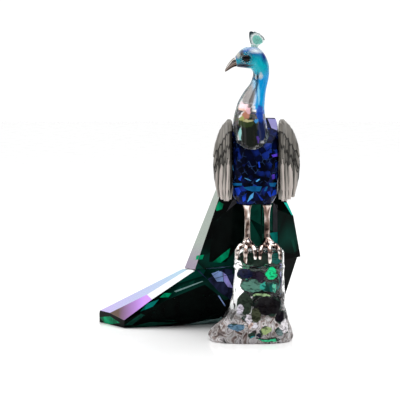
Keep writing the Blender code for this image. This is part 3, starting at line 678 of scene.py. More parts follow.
def object_place(tree):
    return add_node(tree, "ShaderNodeTexCoord").outputs["Object"]


def split(tree, place):
    """The X, Y and Z of a vector."""
    return add_node(tree, "ShaderNodeSeparateXYZ", Vector=place).outputs


def stored(tree, name):
    """A number kept on the mesh's vertices."""
    return add_node(tree, "ShaderNodeAttribute", {"attribute_name": name}).outputs["Fac"]


def noise_of(tree, scale, detail=3.0, distortion=0.0, stretch=(1.0, 1.0, 1.0)):
    placed = add_node(tree, "ShaderNodeMapping", Vector=object_place(tree), Scale=stretch).outputs["Vector"]
    return add_node(
        tree, "ShaderNodeTexNoise", Vector=placed, Scale=scale, Detail=detail, Distortion=distortion
    ).outputs["Fac"]


def tinted(colour, by):
    return tuple(min(1.0, max(0.0, part * by)) for part in colour)


def new_material(name, **plain):
    """A Principled material with plain values set on its sockets, and its node tree and shader."""
    made = bpy.data.materials.new(name)
    made.use_nodes = True
    tree = made.node_tree
    shader = tree.nodes["Principled BSDF"]
    for socket, value in plain.items():
        shader.inputs[socket.replace("_", " ")].default_value = value
    return made, tree, shader


def paint(tree, shader, look, smooth, worn, scale=260.0):
    """Colours a surface and gives it fine handling marks: its roughness drifts between two values."""
    tree.links.new(look, shader.inputs["Base Color"])
    marks = noise_of(tree, scale, detail=4.0)
    tree.links.new(spread(tree, marks, 0.35, 0.7, smooth, worn), shader.inputs["Roughness"])


def relief(tree, shader, height, strength, distance):
    bump = add_node(tree, "ShaderNodeBump", Height=height, Strength=strength, Distance=distance)
    tree.links.new(bump.outputs["Normal"], shader.inputs["Normal"])


def moulded_skin(tree, shader, scale=150.0, strength=0.05):
    """The faint waves of glass from a mould."""
    relief(tree, shader, noise_of(tree, scale, detail=2.0, distortion=0.6), strength, 0.001)


def clear_glass(name, waves):
    """Clear moulded glass, uneven in tint."""
    made, tree, shader = new_material(name, Transmission_Weight=1.0, IOR=1.5)
    clear = colours().clear
    drift = noise_of(tree, 90.0, detail=2.0)
    paint(tree, shader, ramp(tree, drift, (0.3, tinted(clear, 0.94)), (0.7, clear)), 0.0, 0.04)
    moulded_skin(tree, shader, 144.0, waves)
    return made


def patch_distance(tree, place, pixel, half_size, back):
    """Distance from the point that a pixel of the photo shows, as 1 at the rim of an ellipse about it."""
    pixel_width = (back - CAMERA_AT.y) * SENSOR / LENS / PHOTO_SIDE
    wide, tall = (half * pixel_width for half in half_size)
    away = worked_out(tree, "SUBTRACT", place, pixel_point(pixel, back), kind="VectorMath")
    scaled = worked_out(tree, "MULTIPLY", away, (1 / wide, 0.0, 1 / tall), kind="VectorMath")
    return add_node(tree, "ShaderNodeVectorMath", {"operation": "LENGTH"}, Vector=scaled).outputs["Value"]


def lay_patches(tree, whole, patches, place, back, soft, lit=None):
    """Lays a table's patches of colour over a colour."""
    for colour, pixel, half_size in patches:
        far = patch_distance(tree, place, pixel, half_size, back)
        inside = spread(tree, far, 1 + 2 * soft, 1 - soft)
        if lit:
            colour = worked_out(tree, "MULTIPLY", lit, colour, kind="VectorMath")
        whole = mixed(tree, inside, whole, colour)
    return whole


def warped(tree, scale, amount):
    """Places on the object, pushed about by a noise so that edges drawn there are uneven."""
    spot = object_place(tree)
    bend = add_node(tree, "ShaderNodeTexNoise", Vector=spot, Scale=scale, Detail=3.0).outputs["Color"]
    centred = worked_out(tree, "SUBTRACT", bend, (0.5, 0.5, 0.5), kind="VectorMath")
    return worked_out(tree, "MULTIPLY_ADD", centred, (amount, amount, amount), spot, kind="VectorMath")


def foot_glass_painted_reflections():
    """The stump's foot: glass painted with streaks of reflection, white, brown and dark."""
    made, tree, shader = new_material("foot_glass_painted_reflections", Transmission_Weight=0.6, IOR=1.5)
    strands = noise_of(tree, 170.0, detail=1.0, distortion=1.0, stretch=(1.0, 1.0, 0.8))
    paint(tree, shader, ramp(tree, strands, *FOOT_REFLECTION_STREAKS), 0.0, 0.04)
    moulded_skin(tree, shader)
    return made


def painted_stump_reflections():
    """Painted reflections: patches of the train's greens and of the room's whites, as the stump's glass shows
    them.
    """
    made, tree, shader = new_material("painted_stump_reflections", Specular_IOR_Level=0.12)
    streaks = noise_of(tree, 420.0, detail=3.0, distortion=1.5, stretch=(0.7, 1.0, 1.3))
    lit = ramp(tree, streaks, (0.38, (0.3, 0.3, 0.3)), (0.5, (0.9, 0.9, 0.9)), (0.66, (1.0, 1.0, 1.0)))
    front = -sizes().stump_waist_depth / 2
    bent = warped(tree, 220.0, 0.0065)
    look = lay_patches(tree, (0.02, 0.04, 0.03), STUMP_REFLECTION_PATCHES, bent, front, 0.06, lit)
    paint(tree, shader, look, 0.0, 0.04)
    moulded_skin(tree, shader)
    return made


def cut_crystal(name, tones, cell, stretch=(1.0, 1.0, 1.0), glint_lines=None):
    """Deep-coloured crystal painted with a mosaic of the reflections of its far facets, from darkest to
    brightest tone.
    """
    made, tree, shader = new_material(name, IOR=1.56, Specular_IOR_Level=0.02)
    placed = add_node(
        tree, "ShaderNodeMapping", Vector=object_place(tree), Rotation=(0.2, 0.5, 0.1), Scale=stretch
    ).outputs["Vector"]

    def cells(size, **settings):
        return add_node(
            tree, "ShaderNodeTexVoronoi", settings, Vector=placed, Scale=1.0 / size, Randomness=0.8
        ).outputs

    looks = []
    for size in (cell, cell * 2.3):
        found = cells(size, distance="CHEBYCHEV")
        pick = split(tree, found["Color"])["X"]
        looks.append(ramp(tree, wavered(tree, pick, found["Distance"], -0.45), *zip(REFLECTION_MOSAIC_STEPS, tones)))
    whole = mixed(tree, spread(tree, noise_of(tree, 0.3 / cell, detail=1.0), 0.42, 0.58), *looks)
    # Thin painted highlights along the edges of some cells
    if glint_lines:
        edges = cells(cell, feature="DISTANCE_TO_EDGE")
        thin = spread(tree, edges["Distance"], 0.05, 0.0, 0.0, 0.8)
        some = spread(tree, noise_of(tree, 0.9 / cell, detail=1.0), 0.52, 0.6)
        whole = mixed(tree, worked_out(tree, "MULTIPLY", thin, some), whole, glint_lines)
    paint(tree, shader, whole, 0.01, 0.05)
    return made


def glint(name, colour, dark=0.35):
    """A facet painted with a glint: its colour with soft darker streaks."""
    made, tree, shader = new_material(name + "_glint", Specular_IOR_Level=0.02)
    streaks = noise_of(tree, 160.0, detail=2.0, distortion=0.8, stretch=(1.0, 1.0, 0.5))
    look = ramp(tree, streaks, (0.36, tinted(colour, dark)), (0.56, colour), (0.75, tinted(colour, 1.15)))
    paint(tree, shader, look, 0.03, 0.09)
    return made


def coated(name, start, end, axis, low, high, metallic=0.85):
    """A coated bevel: a thin reflecting film whose colour drifts from one end of the bevel to the other."""
    made, tree, shader = new_material(name, Metallic=metallic, Coat_Weight=0.6, Coat_Roughness=0.02)
    run = spread(tree, split(tree, object_place(tree))[axis], low, high, 0.0, 0.9)
    drift = wavered(tree, run, noise_of(tree, 70.0, detail=2.0), 0.12)
    middle = tuple((first + second) / 2 for first, second in zip(start, end))
    paint(tree, shader, ramp(tree, drift, (0.08, start), (0.5, middle), (0.92, end)), 0.03, 0.08)
    return made


def neck_glass(name, clear):
    """Glass with blue fused into it down the nape, and a head enamelled from royal blue to teal."""
    tones = colours()
    made, tree, shader = new_material(
        name,
        Transmission_Weight=clear,
        IOR=1.5,
        Specular_IOR_Level=0.25,
        Coat_Weight=0.15,
        Coat_Roughness=0.02,
    )
    crown = stored(tree, "crown")
    waver = noise_of(tree, 240.0, detail=3.0)
    enamel = ramp(
        tree,
        wavered(tree, crown, noise_of(tree, 90.0, detail=0.0), 0.16),
        (0.12, (0.004, 0.02, 0.06)),
        (0.3, tones.cheek),
        (0.62, tones.cheek),
        (0.78, (0.02, 0.1, 0.42)),
        (0.9, (0.11, 0.24, 0.4)),
        (1.0, (0.5, 0.62, 0.7)),
    )
    # Painted refraction lines in the clear glass: grey-green near the front edge, brown-grey halfway round
    bands = ramp(
        tree,
        wavered(tree, crown, waver, 0.06),
        (0.02, (0.25, 0.36, 0.32)),
        (0.06, tones.clear),
        (0.28, tones.clear),
        (0.36, (0.06, 0.05, 0.045)),
        (0.48, (0.1, 0.09, 0.085)),
        (0.58, tones.clear),
    )
    blue = mixed(tree, stored(tree, "head"), tones.nape, enamel)
    share = spread(tree, wavered(tree, stored(tree, "tint"), waver, 0.25), 0.2, 1.0)
    whole = mixed(tree, share, bands, blue)
    # Painted highlights and reflections on the head and neck
    whole = lay_patches(tree, whole, HEAD_COLOUR_AND_HIGHLIGHT_PATCHES, warped(tree, 300.0, 0.0015), 0.0, 0.45)
    # Painted reflections over the neck's seat, seen through the glass
    whole = lay_patches(tree, whole, SEAT_REFLECTION_PATCHES, warped(tree, 500.0, 0.003), body_chest(), 0.1)
    paint(tree, shader, whole, 0.0, 0.03)
    return made


def seat_glue_painted_reflections():
    """The glued flat at the neck's foot, painted with the glints and dark reflections in many colours that
    show through the glass.
    """
    made, tree, shader = new_material("seat_glue_painted_reflections", Metallic=0.5, Roughness=0.12)
    parts = split(tree, object_place(tree))
    pick = noise_of(tree, 420.0, detail=3.0, distortion=2.0)
    line = neck_seat()[0].z + 0.0118
    rise = spread(tree, parts["Z"], line, line + 0.001)
    side = spread(tree, parts["X"], 0.0018, 0.003)
    bright = mixed(tree, side, ramp(tree, pick, *GLUE_BRIGHT_REFLECTIONS), (0.01, 0.05, 0.4))
    look = mixed(tree, rise, ramp(tree, pick, *GLUE_DARK_REFLECTIONS), bright)
    tree.links.new(look, shader.inputs["Base Color"])
    return made


def silver_plate():
    """Bright plate, its colour painted with the warm dark reflections of a room."""
    made, tree, shader = new_material("silver_plate", Metallic=1.0)
    drift = noise_of(tree, 330.0, detail=1.0, distortion=0.4, stretch=(1.0, 1.0, 0.3))
    look = ramp(
        tree,
        drift,
        (0.38, (0.04, 0.025, 0.02)),
        (0.48, (0.26, 0.17, 0.14)),
        (0.58, colours().silver),
        (0.7, (0.95, 0.92, 0.9)),
    )
    paint(tree, shader, look, 0.05, 0.16)
    relief(tree, shader, noise_of(tree, 900.0, detail=3.0), 0.12, 0.0004)
    return made


def beak_plate():
    """Plate with painted light and shade: highlighted along the beak's ridge, dark brown under it."""
    made, tree, shader = new_material("beak_plate", Metallic=1.0)
    shade = wavered(tree, stored(tree, "shade"), noise_of(tree, 500.0, detail=2.0), 0.12)
    paint(tree, shader, ramp(tree, shade, *BEAK_LIGHT_AND_SHADE), 0.12, 0.2)
    return made


def crest_glass():
    """Mint glass with a pale ring and a dark outline."""
    made, tree, shader = new_material("mint_glass", Transmission_Weight=0.3, IOR=1.5)
    mint = colours().mint
    shade = wavered(tree, stored(tree, "shade"), noise_of(tree, 420.0, detail=2.0), 0.1)
    look = ramp(tree, shade, *CREST_RIM, (0.54, mint), (1.0, tinted(mint, 0.75)))
    paint(tree, shader, look, 0.0, 0.05)
    return made


def smoky_glass():
    """Smoky glass with painted shade, darkest in the grooves between feathers, and pale streaks along them.
    """
    smoke = colours().smoke
    made, tree, shader = new_material(
        "smoky_glass", Transmission_Weight=0.08, IOR=1.52, Specular_IOR_Level=0.12
    )
    streaks = noise_of(tree, 420.0, detail=3.0, stretch=(1.0, 1.0, 0.16))
    look = ramp(
        tree,
        wavered(tree, stored(tree, "shade"), streaks, 0.7),
        (0.38, (0.008, 0.007, 0.005)),
        (0.58, tinted(smoke, 0.16)),
        (0.78, tinted(smoke, 0.5)),
        (1.0, (0.6, 0.53, 0.49)),
    )
    paint(tree, shader, look, 0.02, 0.09)
    return made


def black_stone():
    made, tree, shader = new_material("black_stone", Specular_IOR_Level=0.2)
    look = ramp(tree, noise_of(tree, 500.0), (0.3, (0.001, 0.001, 0.0015)), (0.8, (0.004, 0.004, 0.006)))
    paint(tree, shader, look, 0.02, 0.06)
    return made


# Shapes


def is_vertex(item):
    return isinstance(item, bmesh.types.BMVert)


def turns(count):
    """Angles evenly round a circle."""
    return [2 * pi * step / count for step in range(count)]


def mesh_data(name, mesh):
    """Turns a bmesh into a mesh and frees it."""
    data = bpy.data.meshes.new(name)
    mesh.to_mesh(data)
    mesh.free()
    return data


def add_object(name, data):
    made = bpy.data.objects.new(name, data)
    bpy.context.scene.collection.objects.link(made)
    return made


def store(mesh, name, values):
    """Keeps a number on each vertex for a material to read."""
    layer = mesh.verts.layers.float.new(name)
    for vertex, value in zip(mesh.verts, values):
        vertex[layer] = value


def place(name, mesh, finishes, node, slot, smooth=True):
    """Makes a piece's object at the origin, standing for a CAD node and riding on the one body."""
    bmesh.ops.recalc_face_normals(mesh, faces=mesh.faces)
    if mesh.calc_volume(signed=True) < 0:
        bmesh.ops.reverse_faces(mesh, faces=mesh.faces)
    for face in mesh.faces:
        face.smooth = smooth
    data = mesh_data(name, mesh)
    for finish in finishes:
        data.materials.append(finish)
    made = add_object(name, data)
    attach(made, next(iter(frame["bodies"])))
    if node:
        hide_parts(node)


def blend(table, at):
    """Reads a table of (at, value) rows at one place, straight between rows."""
    for (low, first), (high, second) in zip(table, table[1:]):
        if at <= high:
            return first + (second - first) * max(0.0, at - low) / (high - low)
    return table[-1][1]


def eased(low, high, value):
    """0 below low, 1 above high, and smooth between."""
    share = min(1.0, max(0.0, (value - low) / (high - low)))
    return share * share * (3 - 2 * share)


def curve_through(rows, steps):
    """Rows of numbers, with more rows between them on a smooth curve through them all."""
    def between(a, b, c, d, t):
        square, cube = 2 * a - 5 * b + 4 * c - d, 3 * b - a - 3 * c + d
        return 0.5 * (2 * b + (c - a) * t + square * t * t + cube * t ** 3)

    made = []
    last = len(rows) - 1
    for index in range(last):
        near = [rows[min(max(index + step, 0), last)] for step in (-1, 0, 1, 2)]
        for step in range(steps):
            made.append([between(*four, step / steps) for four in zip(*near)])
    made.append(list(rows[-1]))
    return made


def loft(rings):
    """Skins a row of closed rings that have the same number of points, and caps both ends."""
    mesh = bmesh.new()
    loop = bmesh.ops.create_circle(mesh, segments=len(rings[0]), radius=1.0)["verts"]
    for vertex, point in zip(loop, rings[0]):
        vertex.co = point
    bmesh.ops.contextual_create(mesh, geom=loop)
    for ring in rings[1:]:
        edges = [mesh.edges.get((loop[i - 1], loop[i])) for i in range(len(loop))]
        made = bmesh.ops.extrude_edge_only(mesh, edges=edges)["geom"]
        fresh = set(filter(is_vertex, made))
        near = [[edge.other_vert(old) for edge in old.link_edges] for old in loop]
        loop = [next(vertex for vertex in vertices if vertex in fresh) for vertices in near]
        for vertex, point in zip(loop, ring):
            vertex.co = point
    bmesh.ops.contextual_create(mesh, geom=loop)
    return mesh


def tube(path, radii, sides):
    """A round bar along a path, with a radius at each point."""
    rings = []
    side = Vector((0.0, 0.0, 1.0))
    for index, (point, radius) in enumerate(zip(path, radii)):
        along = path[min(index + 1, len(path) - 1)] - path[max(index - 1, 0)]
        along.normalize()
        if index == 0 and abs(along.z) > 0.9:
            side = Vector((1.0, 0.0, 0.0))
        side = (side - along * side.dot(along)).normalized()
        across = along.cross(side)
        rings.append([point + radius * (cos(turn) * side + sin(turn) * across) for turn in turns(sides)])
    return loft(rings)


def grind(mesh, point, outward, finish=0, above=None):
    """Grinds a flat: takes off what lies outward of a plane, above a height if given, and closes the cut."""
    faces = [face for face in mesh.faces if above is None or face.calc_center_median().z > above]
    edges = {edge for face in faces for edge in face.edges}
    vertices = {vertex for face in faces for vertex in face.verts}
    cut = bmesh.ops.bisect_plane(
        mesh,
        geom=[*vertices, *edges, *faces],
        dist=CUT_TOLERANCE,
        plane_co=point,
        plane_no=outward,
        clear_outer=True,
    )
    rim = [item for item in cut["geom_cut"] if isinstance(item, bmesh.types.BMEdge)]
    for face in bmesh.ops.contextual_create(mesh, geom=rim)["faces"]:
        face.material_index = finish
    return rim


def facet(mesh, first, second, third, inside, finish):
    """Grinds the flat through three points, on the side away from an inside point."""
    outward = (second - first).cross(third - first).normalized()
    if outward.dot(inside - first) > 0:
        outward = -outward
    grind(mesh, first, outward, finish)


def hull(points):
    mesh = bmesh.new()
    for point in points:
        mesh.verts.new(point)
    made = bmesh.ops.convex_hull(mesh, input=mesh.verts)
    loose = set(filter(is_vertex, made["geom_interior"] + made["geom_unused"]))
    bmesh.ops.delete(mesh, geom=list(loose), context="VERTS")
    return mesh


def slab(columns, rows, shape, shade):
    """A closed sheet: a grid with a copy behind it, shaped from (across, along, depth), each 0 to 1."""
    mesh = bmesh.new()
    bmesh.ops.create_grid(mesh, x_segments=columns, y_segments=rows, size=0.5)
    bmesh.ops.translate(mesh, verts=mesh.verts, vec=(0.5, 0.5, 0.0))
    front = mesh.faces[:]
    made = bmesh.ops.extrude_face_region(mesh, geom=front, use_keep_orig=True)["geom"]
    bmesh.ops.translate(mesh, verts=list(filter(is_vertex, made)), vec=(0.0, 0.0, 1.0))
    places = [tuple(vertex.co) for vertex in mesh.verts]
    store(mesh, "shade", [shade(across, along) for across, along, depth in places])
    for vertex, at in zip(mesh.verts, places):
        vertex.co = shape(*at)
    return mesh


def soften_edges(mesh, edges, width, segments=2):
    return bmesh.ops.bevel(
        mesh,
        geom=edges,
        offset=width,
        offset_type="OFFSET",
        affect="EDGES",
        segments=segments,
        profile=0.5,
        material=-1,
        clamp_overlap=True,
    )["faces"]


def inlay(mesh, finish, corners):
    """Marks off a smaller facet for a painted glint, by the photo's pixels at its corners, on the flats seen
    there.
    """
    rays = [pixel_ray(corner) for corner in corners]
    middle = sum(rays, Vector()) / len(rays)

    def seen_face(way):
        mesh.faces.ensure_lookup_table()
        index = BVHTree.FromBMesh(mesh).ray_cast(CAMERA_AT, way)[2]
        return None if index is None else mesh.faces[index]

    for way in [middle, *(middle.lerp(ray, INLAY_REACH) for ray in rays)]:
        face = seen_face(way)
        if face is None:
            if way is middle:
                raise RuntimeError("an inlay misses its crystal")
            continue
        for first, second in zip(rays, rays[1:] + rays[:1]):
            face = seen_face(way)
            bmesh.ops.bisect_plane(
                mesh,
                geom=[face, *face.edges, *face.verts],
                dist=CUT_TOLERANCE,
                plane_co=CAMERA_AT,
                plane_no=first.cross(second),
            )
        seen_face(way).material_index = finish


# Stump


def stump_size(height, grow=0.0):
    """Half width, half depth and middle of the stump at a height, with its skin grown outward."""
    size = sizes()
    flare = blend(STUMP_FLARE, height / size.stump_height)
    shoulder = STUMP_RIM + grow
    over = max(0.0, height - (size.stump_height - STUMP_RIM))
    inset = shoulder - sqrt(max(0.0, shoulder * shoulder - over * over))
    width = size.stump_waist_width + (size.stump_foot_width - size.stump_waist_width) * flare
    depth = size.stump_waist_depth + (size.stump_foot_depth - size.stump_waist_depth) * flare
    return width / 2 + grow - inset, depth / 2 + grow - inset, STUMP_WAIST_RIGHT * (1.0 - flare)


def stump_relief(turn, height):
    """How far the moulded skin stands out: roots at the foot, and a drip line below the toes."""
    size = sizes()
    up = height / size.stump_height
    x, y = cos(turn), sin(turn)
    waver = 0.0005 * noise.noise(Vector((3 * x, 3 * y, 9 * up)))
    strand = 1 - abs(2 * noise.noise(Vector((4 * x, 4 * y, 2 * up + 3))))
    roots = 0.0011 * (strand - 0.6) * eased(0.42, 0.12, up) * eased(0.0, 0.05, up)
    line = 0.79 + 0.02 * noise.noise(Vector((2.5 * x, 2.5 * y, 7)))
    drip = 0.00045 * max(0.0, 1 - abs(up - line) / 0.02)
    return (waver + drip) * eased(1.0, 0.86, up) * eased(0.0, 0.04, up) + min(roots, 0.0004)


def stump_reach(start, heading, height, grow):
    """How far a level line runs from a start inside the stump before it leaves the stump's grown skin."""
    half_width, half_depth, middle = stump_size(height, grow)
    near, far = 0.0, sizes().stump_foot_width
    while far - near > 1e-6:
        reach = (near + far) / 2
        at = start + heading * reach
        beside, before = abs((at.x - middle) / half_width), abs(at.y / half_depth)
        if beside ** STUMP_SQUARENESS + before ** STUMP_SQUARENESS < 1.0:
            near = reach
        else:
            far = reach
    return near


def make_stump():
    top = sizes().stump_height
    heights = [(top - STUMP_RIM) * step / STUMP_RINGS for step in range(STUMP_RINGS + 1)]
    heights += [top - STUMP_RIM * (1 - sin(pi / 2 * step / 10)) for step in range(1, 11)]
    rings = []
    for height in heights:
        half_width, half_depth, middle = stump_size(height)
        ring = []
        for turn in turns(STUMP_SIDES):
            x, y = cos(turn), sin(turn)
            reach = (abs(x) ** STUMP_SQUARENESS + abs(y) ** STUMP_SQUARENESS) ** (-1 / STUMP_SQUARENESS)
            out = stump_relief(turn, height)
            right, back = middle + half_width * x * reach + out * x, half_depth * y * reach + out * y
            ring.append(Vector((right, back, height)))
        rings.append(ring)
    mesh = loft(rings)
    for face in mesh.faces:
        middle = face.calc_center_median()
        # Faces in front under the painted reflections take their own finish
        if middle.y < 0 and in_patch(middle, STUMP_REFLECTION_PATCHES):
            face.material_index = PAINTED_REFLECTION
        # The foot is streaked with painted reflections
        elif middle.z < STREAKED_HEIGHT + STREAKED_WAVER * noise.noise(middle * 250):
            face.material_index = STREAKED
    finishes = [clear_glass("clear_glass", 0.05), foot_glass_painted_reflections(), painted_stump_reflections()]
    place("stump_glass", mesh, finishes, "stump", "clear_crystal")


# Legs


def toe(ankle, turn, drop):
    """A toe that runs from the ankle to the stump's edge and bends down over it to its claw."""
    top = sizes().stump_height
    heading = Vector((sin(radians(turn)), -cos(radians(turn)), 0.0))
    grow = TOE_RADIUS + GAP
    heights = [top + grow - (grow + drop) * step / TOE_STEPS for step in range(TOE_STEPS + 1)]
    path = [ankle, ankle.lerp(ankle + heading * stump_reach(ankle, heading, heights[0], grow), 0.55)]
    path[1].z = top + grow + TOE_RADIUS
    for height in heights:
        at = ankle + heading * stump_reach(ankle, heading, height, grow)
        path.append(Vector((at.x, at.y, height)))
    radii = [TOE_RADIUS * 0.85, TOE_RADIUS]
    for step in range(TOE_STEPS + 1):
        along = step / TOE_STEPS
        knuckle = 1 + 0.1 * cos(2 * pi * along * 2.5)
        radii.append((TOE_RADIUS + (CLAW_RADIUS - TOE_RADIUS) * along ** 2) * knuckle)
    return tube(path, radii, 16)


def make_leg(name, side, finish):
    size = sizes()
    floor = size.stump_height + GAP
    top = size.stump_height + size.leg_length - GAP
    right = size.body_set_right + size.leg_set_right + side * size.leg_spacing / 2
    ankle = Vector((right, -ANKLE_FORWARD, size.stump_height + ANKLE_UP))
    profile = [
        (floor, PAD),
        ((floor + ankle.z) / 2, PAD),
        (ankle.z, SHANK * 1.2),
        (ankle.z + size.leg_length * 0.13, SHANK),
        (top - size.leg_length * 0.3, SHANK),
        (top - size.leg_length * 0.12, SHANK * 1.2),
        (top - size.leg_length * 0.03, THIGH),
        (top, THIGH),
    ]
    rows = curve_through([list(row) for row in profile], 6)
    path = [Vector((ankle.x, ankle.y, height)) for height, radius in rows]
    radii = [radius * (1 + 0.1 * noise.noise(Vector((side, 7.0, height * 420)))) for height, radius in rows]
    pieces = [tube(path, radii, 24)]
    pieces += [toe(ankle, side * turn, drop) for turn, drop in TOES]
    tip = ankle + Vector((0.0, HIND_TOE, 0.0))
    tip.z = floor + 0.0009
    middle = ankle.lerp(tip, 0.5)
    middle.z = floor + 0.002
    pieces.append(tube([ankle, middle, tip], [0.0012, 0.0012, 0.0008], 12))
    whole = bmesh.new()
    for piece in pieces:
        part = mesh_data("part", piece)
        whole.from_mesh(part)
        bpy.data.meshes.remove(part)
    bmesh.ops.recalc_face_normals(whole, faces=whole.faces)
    place(name + "_silver", fused(whole, LEG_VOXEL), [finish], name, "silvered_metal")


def fused(mesh, voxel):
    """Fuses overlapping closed shapes into one casting with softened creases."""
    draft_data = mesh_data("draft", mesh)
    draft = add_object("draft", draft_data)
    remesh = draft.modifiers.new("Fuse", "REMESH")
    remesh.mode = "VOXEL"
    remesh.voxel_size = voxel
    smooth = draft.modifiers.new("Soften", "SMOOTH")
    smooth.factor = 0.5
    smooth.iterations = 4
    ready = draft.evaluated_get(bpy.context.evaluated_depsgraph_get())
    data = bpy.data.meshes.new_from_object(ready)
    whole = bmesh.new()
    whole.from_mesh(data)
    bpy.data.objects.remove(draft)
    bpy.data.meshes.remove(draft_data)
    bpy.data.meshes.remove(data)
    return whole


# Body


def body_floor():
    return sizes().stump_height + sizes().leg_length


def body_chest():
    return BODY_BACK - sizes().body_depth / 2 + 0.002


def neck_seat():
    """A point of the flat where the neck meets the breast, and the way that flat faces."""
    size = sizes()
    point = Vector((size.body_set_right, body_chest() - 0.0015, body_floor() + size.body_height * SEAT_UP))
    return point, Vector((0.0, -cos(radians(SEAT_LEAN)), sin(radians(SEAT_LEAN))))


def wing_seat(side):
    """A point of the flat where a wing meets the body, and the way that flat faces."""
    size = sizes()
    x = size.body_set_right + side * (size.body_width / 2 - 0.0007)
    point = Vector((x, 0.0, body_floor() + size.body_height * WING_UP))
    return point, Vector((side * cos(radians(BODY_LEAN)), 0.0, sin(radians(BODY_LEAN))))


def tail_seat():
    """A point of the flat where the tail meets the body's back, and the way the tail's front faces."""
    lean = radians(TRAIN_LEAN)
    return Vector((0.0, TRAIN_FRONT, sizes().tail_joint)), Vector((0.0, -cos(lean), -sin(lean)))


def body_finishes():
    body = colours().body
    navy = [tinted(body, by) for by in BODY_REFLECTION_TONES]
    crystal = cut_crystal("blue_crystal", navy, BODY_CELL, glint_lines=(0.03, 0.07, 0.2))
    return [crystal, *(glint(*row) for row in BODY_GLINTS)]


def make_body():
    size = sizes()
    points = []
    for row, (up, wide, deep, forward) in enumerate(BODY_ROWS):
        for step in range(BODY_SIDES):
            turn = 2 * pi * (step + row % 2 / 2) / BODY_SIDES
            x = size.body_set_right + size.body_width / 2 * wide * cos(turn)
            y = BODY_BACK + size.body_depth * (deep / 2 * sin(turn) - forward)
            points.append(Vector((x, y, body_floor() + size.body_height * up)))
    mesh = hull(points)
    tilt = radians(BODY_LEAN)
    middle = body_floor() + size.body_height * 0.45
    grind(mesh, Vector((0.0, body_chest(), middle)), Vector((0.0, -cos(tilt), -sin(tilt))))
    grind(mesh, *neck_seat())
    for side in (-1, 1):
        grind(mesh, *wing_seat(side))
    point, front = tail_seat()
    grind(mesh, point + GAP * front, -front)
    bmesh.ops.dissolve_limit(mesh, angle_limit=radians(0.5), verts=mesh.verts, edges=mesh.edges)
    soften_edges(mesh, mesh.edges[:], size.facet_edge)
    for finish, *corners in BODY_GLINT_FACETS:
        inlay(mesh, BODY_FINISHES.index(finish), corners)
    place("body_crystal", mesh, body_finishes(), "body", "dark_blue_crystal", smooth=False)


# Neck, head, beak, eyes and crest


def neck_point(right, up, back=0.0):
    size = sizes()
    return Vector((
        size.body_set_right + right * size.neck_height,
        back * size.neck_height,
        body_floor() + size.body_height * SEAT_UP + up * size.neck_height,
    ))


def crown_point():
    return neck_point(CREST_ACROSS, NECK_ROWS[CROWN_ROW][0][1] - CREST_DROP, HEAD_BACK)


def beak_seat():
    """Middle of the flat at the front of the head, the way it faces, and its upward direction."""
    back, front, deep, set_back, blue = NECK_ROWS[-1]
    top, foot = neck_point(*back, set_back), neck_point(*front, set_back)
    up = (top - foot).normalized()
    outward = up.cross(Vector((0.0, 1.0, 0.0)))
    return (top + foot) / 2, outward if outward.x < 0 else -outward, up


def make_neck():
    size = sizes()
    rows = [[*back, *front, deep, set_back, reach] for back, front, deep, set_back, reach in NECK_ROWS]
    rings, tints, heads, crowns = [], [], [], []
    fine = curve_through(rows, NECK_STEPS)
    for index, (rear_x, rear_z, fore_x, fore_z, deep, set_back, reach) in enumerate(fine):
        rear, fore = neck_point(rear_x, rear_z, set_back), neck_point(fore_x, fore_z, set_back)
        middle, half = (rear + fore) / 2, (rear - fore) / 2
        ring = []
        for turn in turns(NECK_SIDES):
            ring.append(middle + half * cos(turn) + Vector((0.0, deep * size.neck_height * sin(turn), 0.0)))
            tints.append(eased(reach - 0.25, reach + 0.25, cos(turn)))
            heads.append(eased(*ENAMEL_ROWS, index / NECK_STEPS))
            crowns.append(0.5 + 0.5 * cos(turn) - 0.08)
        rings.append(ring)
    mesh = loft(rings)
    store(mesh, "tint", tints)
    store(mesh, "head", heads)
    store(mesh, "crown", crowns)
    point, outward = neck_seat()
    edge = grind(mesh, point + GAP * outward, -outward, GLUED)
    for face in soften_edges(mesh, edge, SEAT_EDGE, 3):
        face.material_index = RIM
    for side in (-1, 1):
        flat = neck_point(0.0, 0.0, HEAD_BACK + side * HEAD_HALF)
        grind(mesh, flat, Vector((0.0, side, 0.0)), above=neck_point(0.0, 0.66).z)
    grind(mesh, crown_point(), Vector((0.0, 0.0, 1.0)))
    tint = mesh.verts.layers.float["tint"]
    for face in mesh.faces:
        tinted_share = sum(vertex[tint] for vertex in face.verts) / len(face.verts)
        middle = face.calc_center_median()
        patched = middle.y < 0 and in_patch(middle, HEAD_COLOUR_AND_HIGHLIGHT_PATCHES + SEAT_REFLECTION_PATCHES)
        if face.material_index == 0 and (tinted_share > 0.5 or patched):
            face.material_index = ENAMELLED
    rim = glint("rim", (0.3, 0.5, 0.72), 0.3)
    finishes = [neck_glass("neck_glass", 1.0), seat_glue_painted_reflections(), rim, neck_glass("neck_enamel", 0.2)]
    place("neck_glass", mesh, finishes, "neck_head", "blue_tinted_glass")


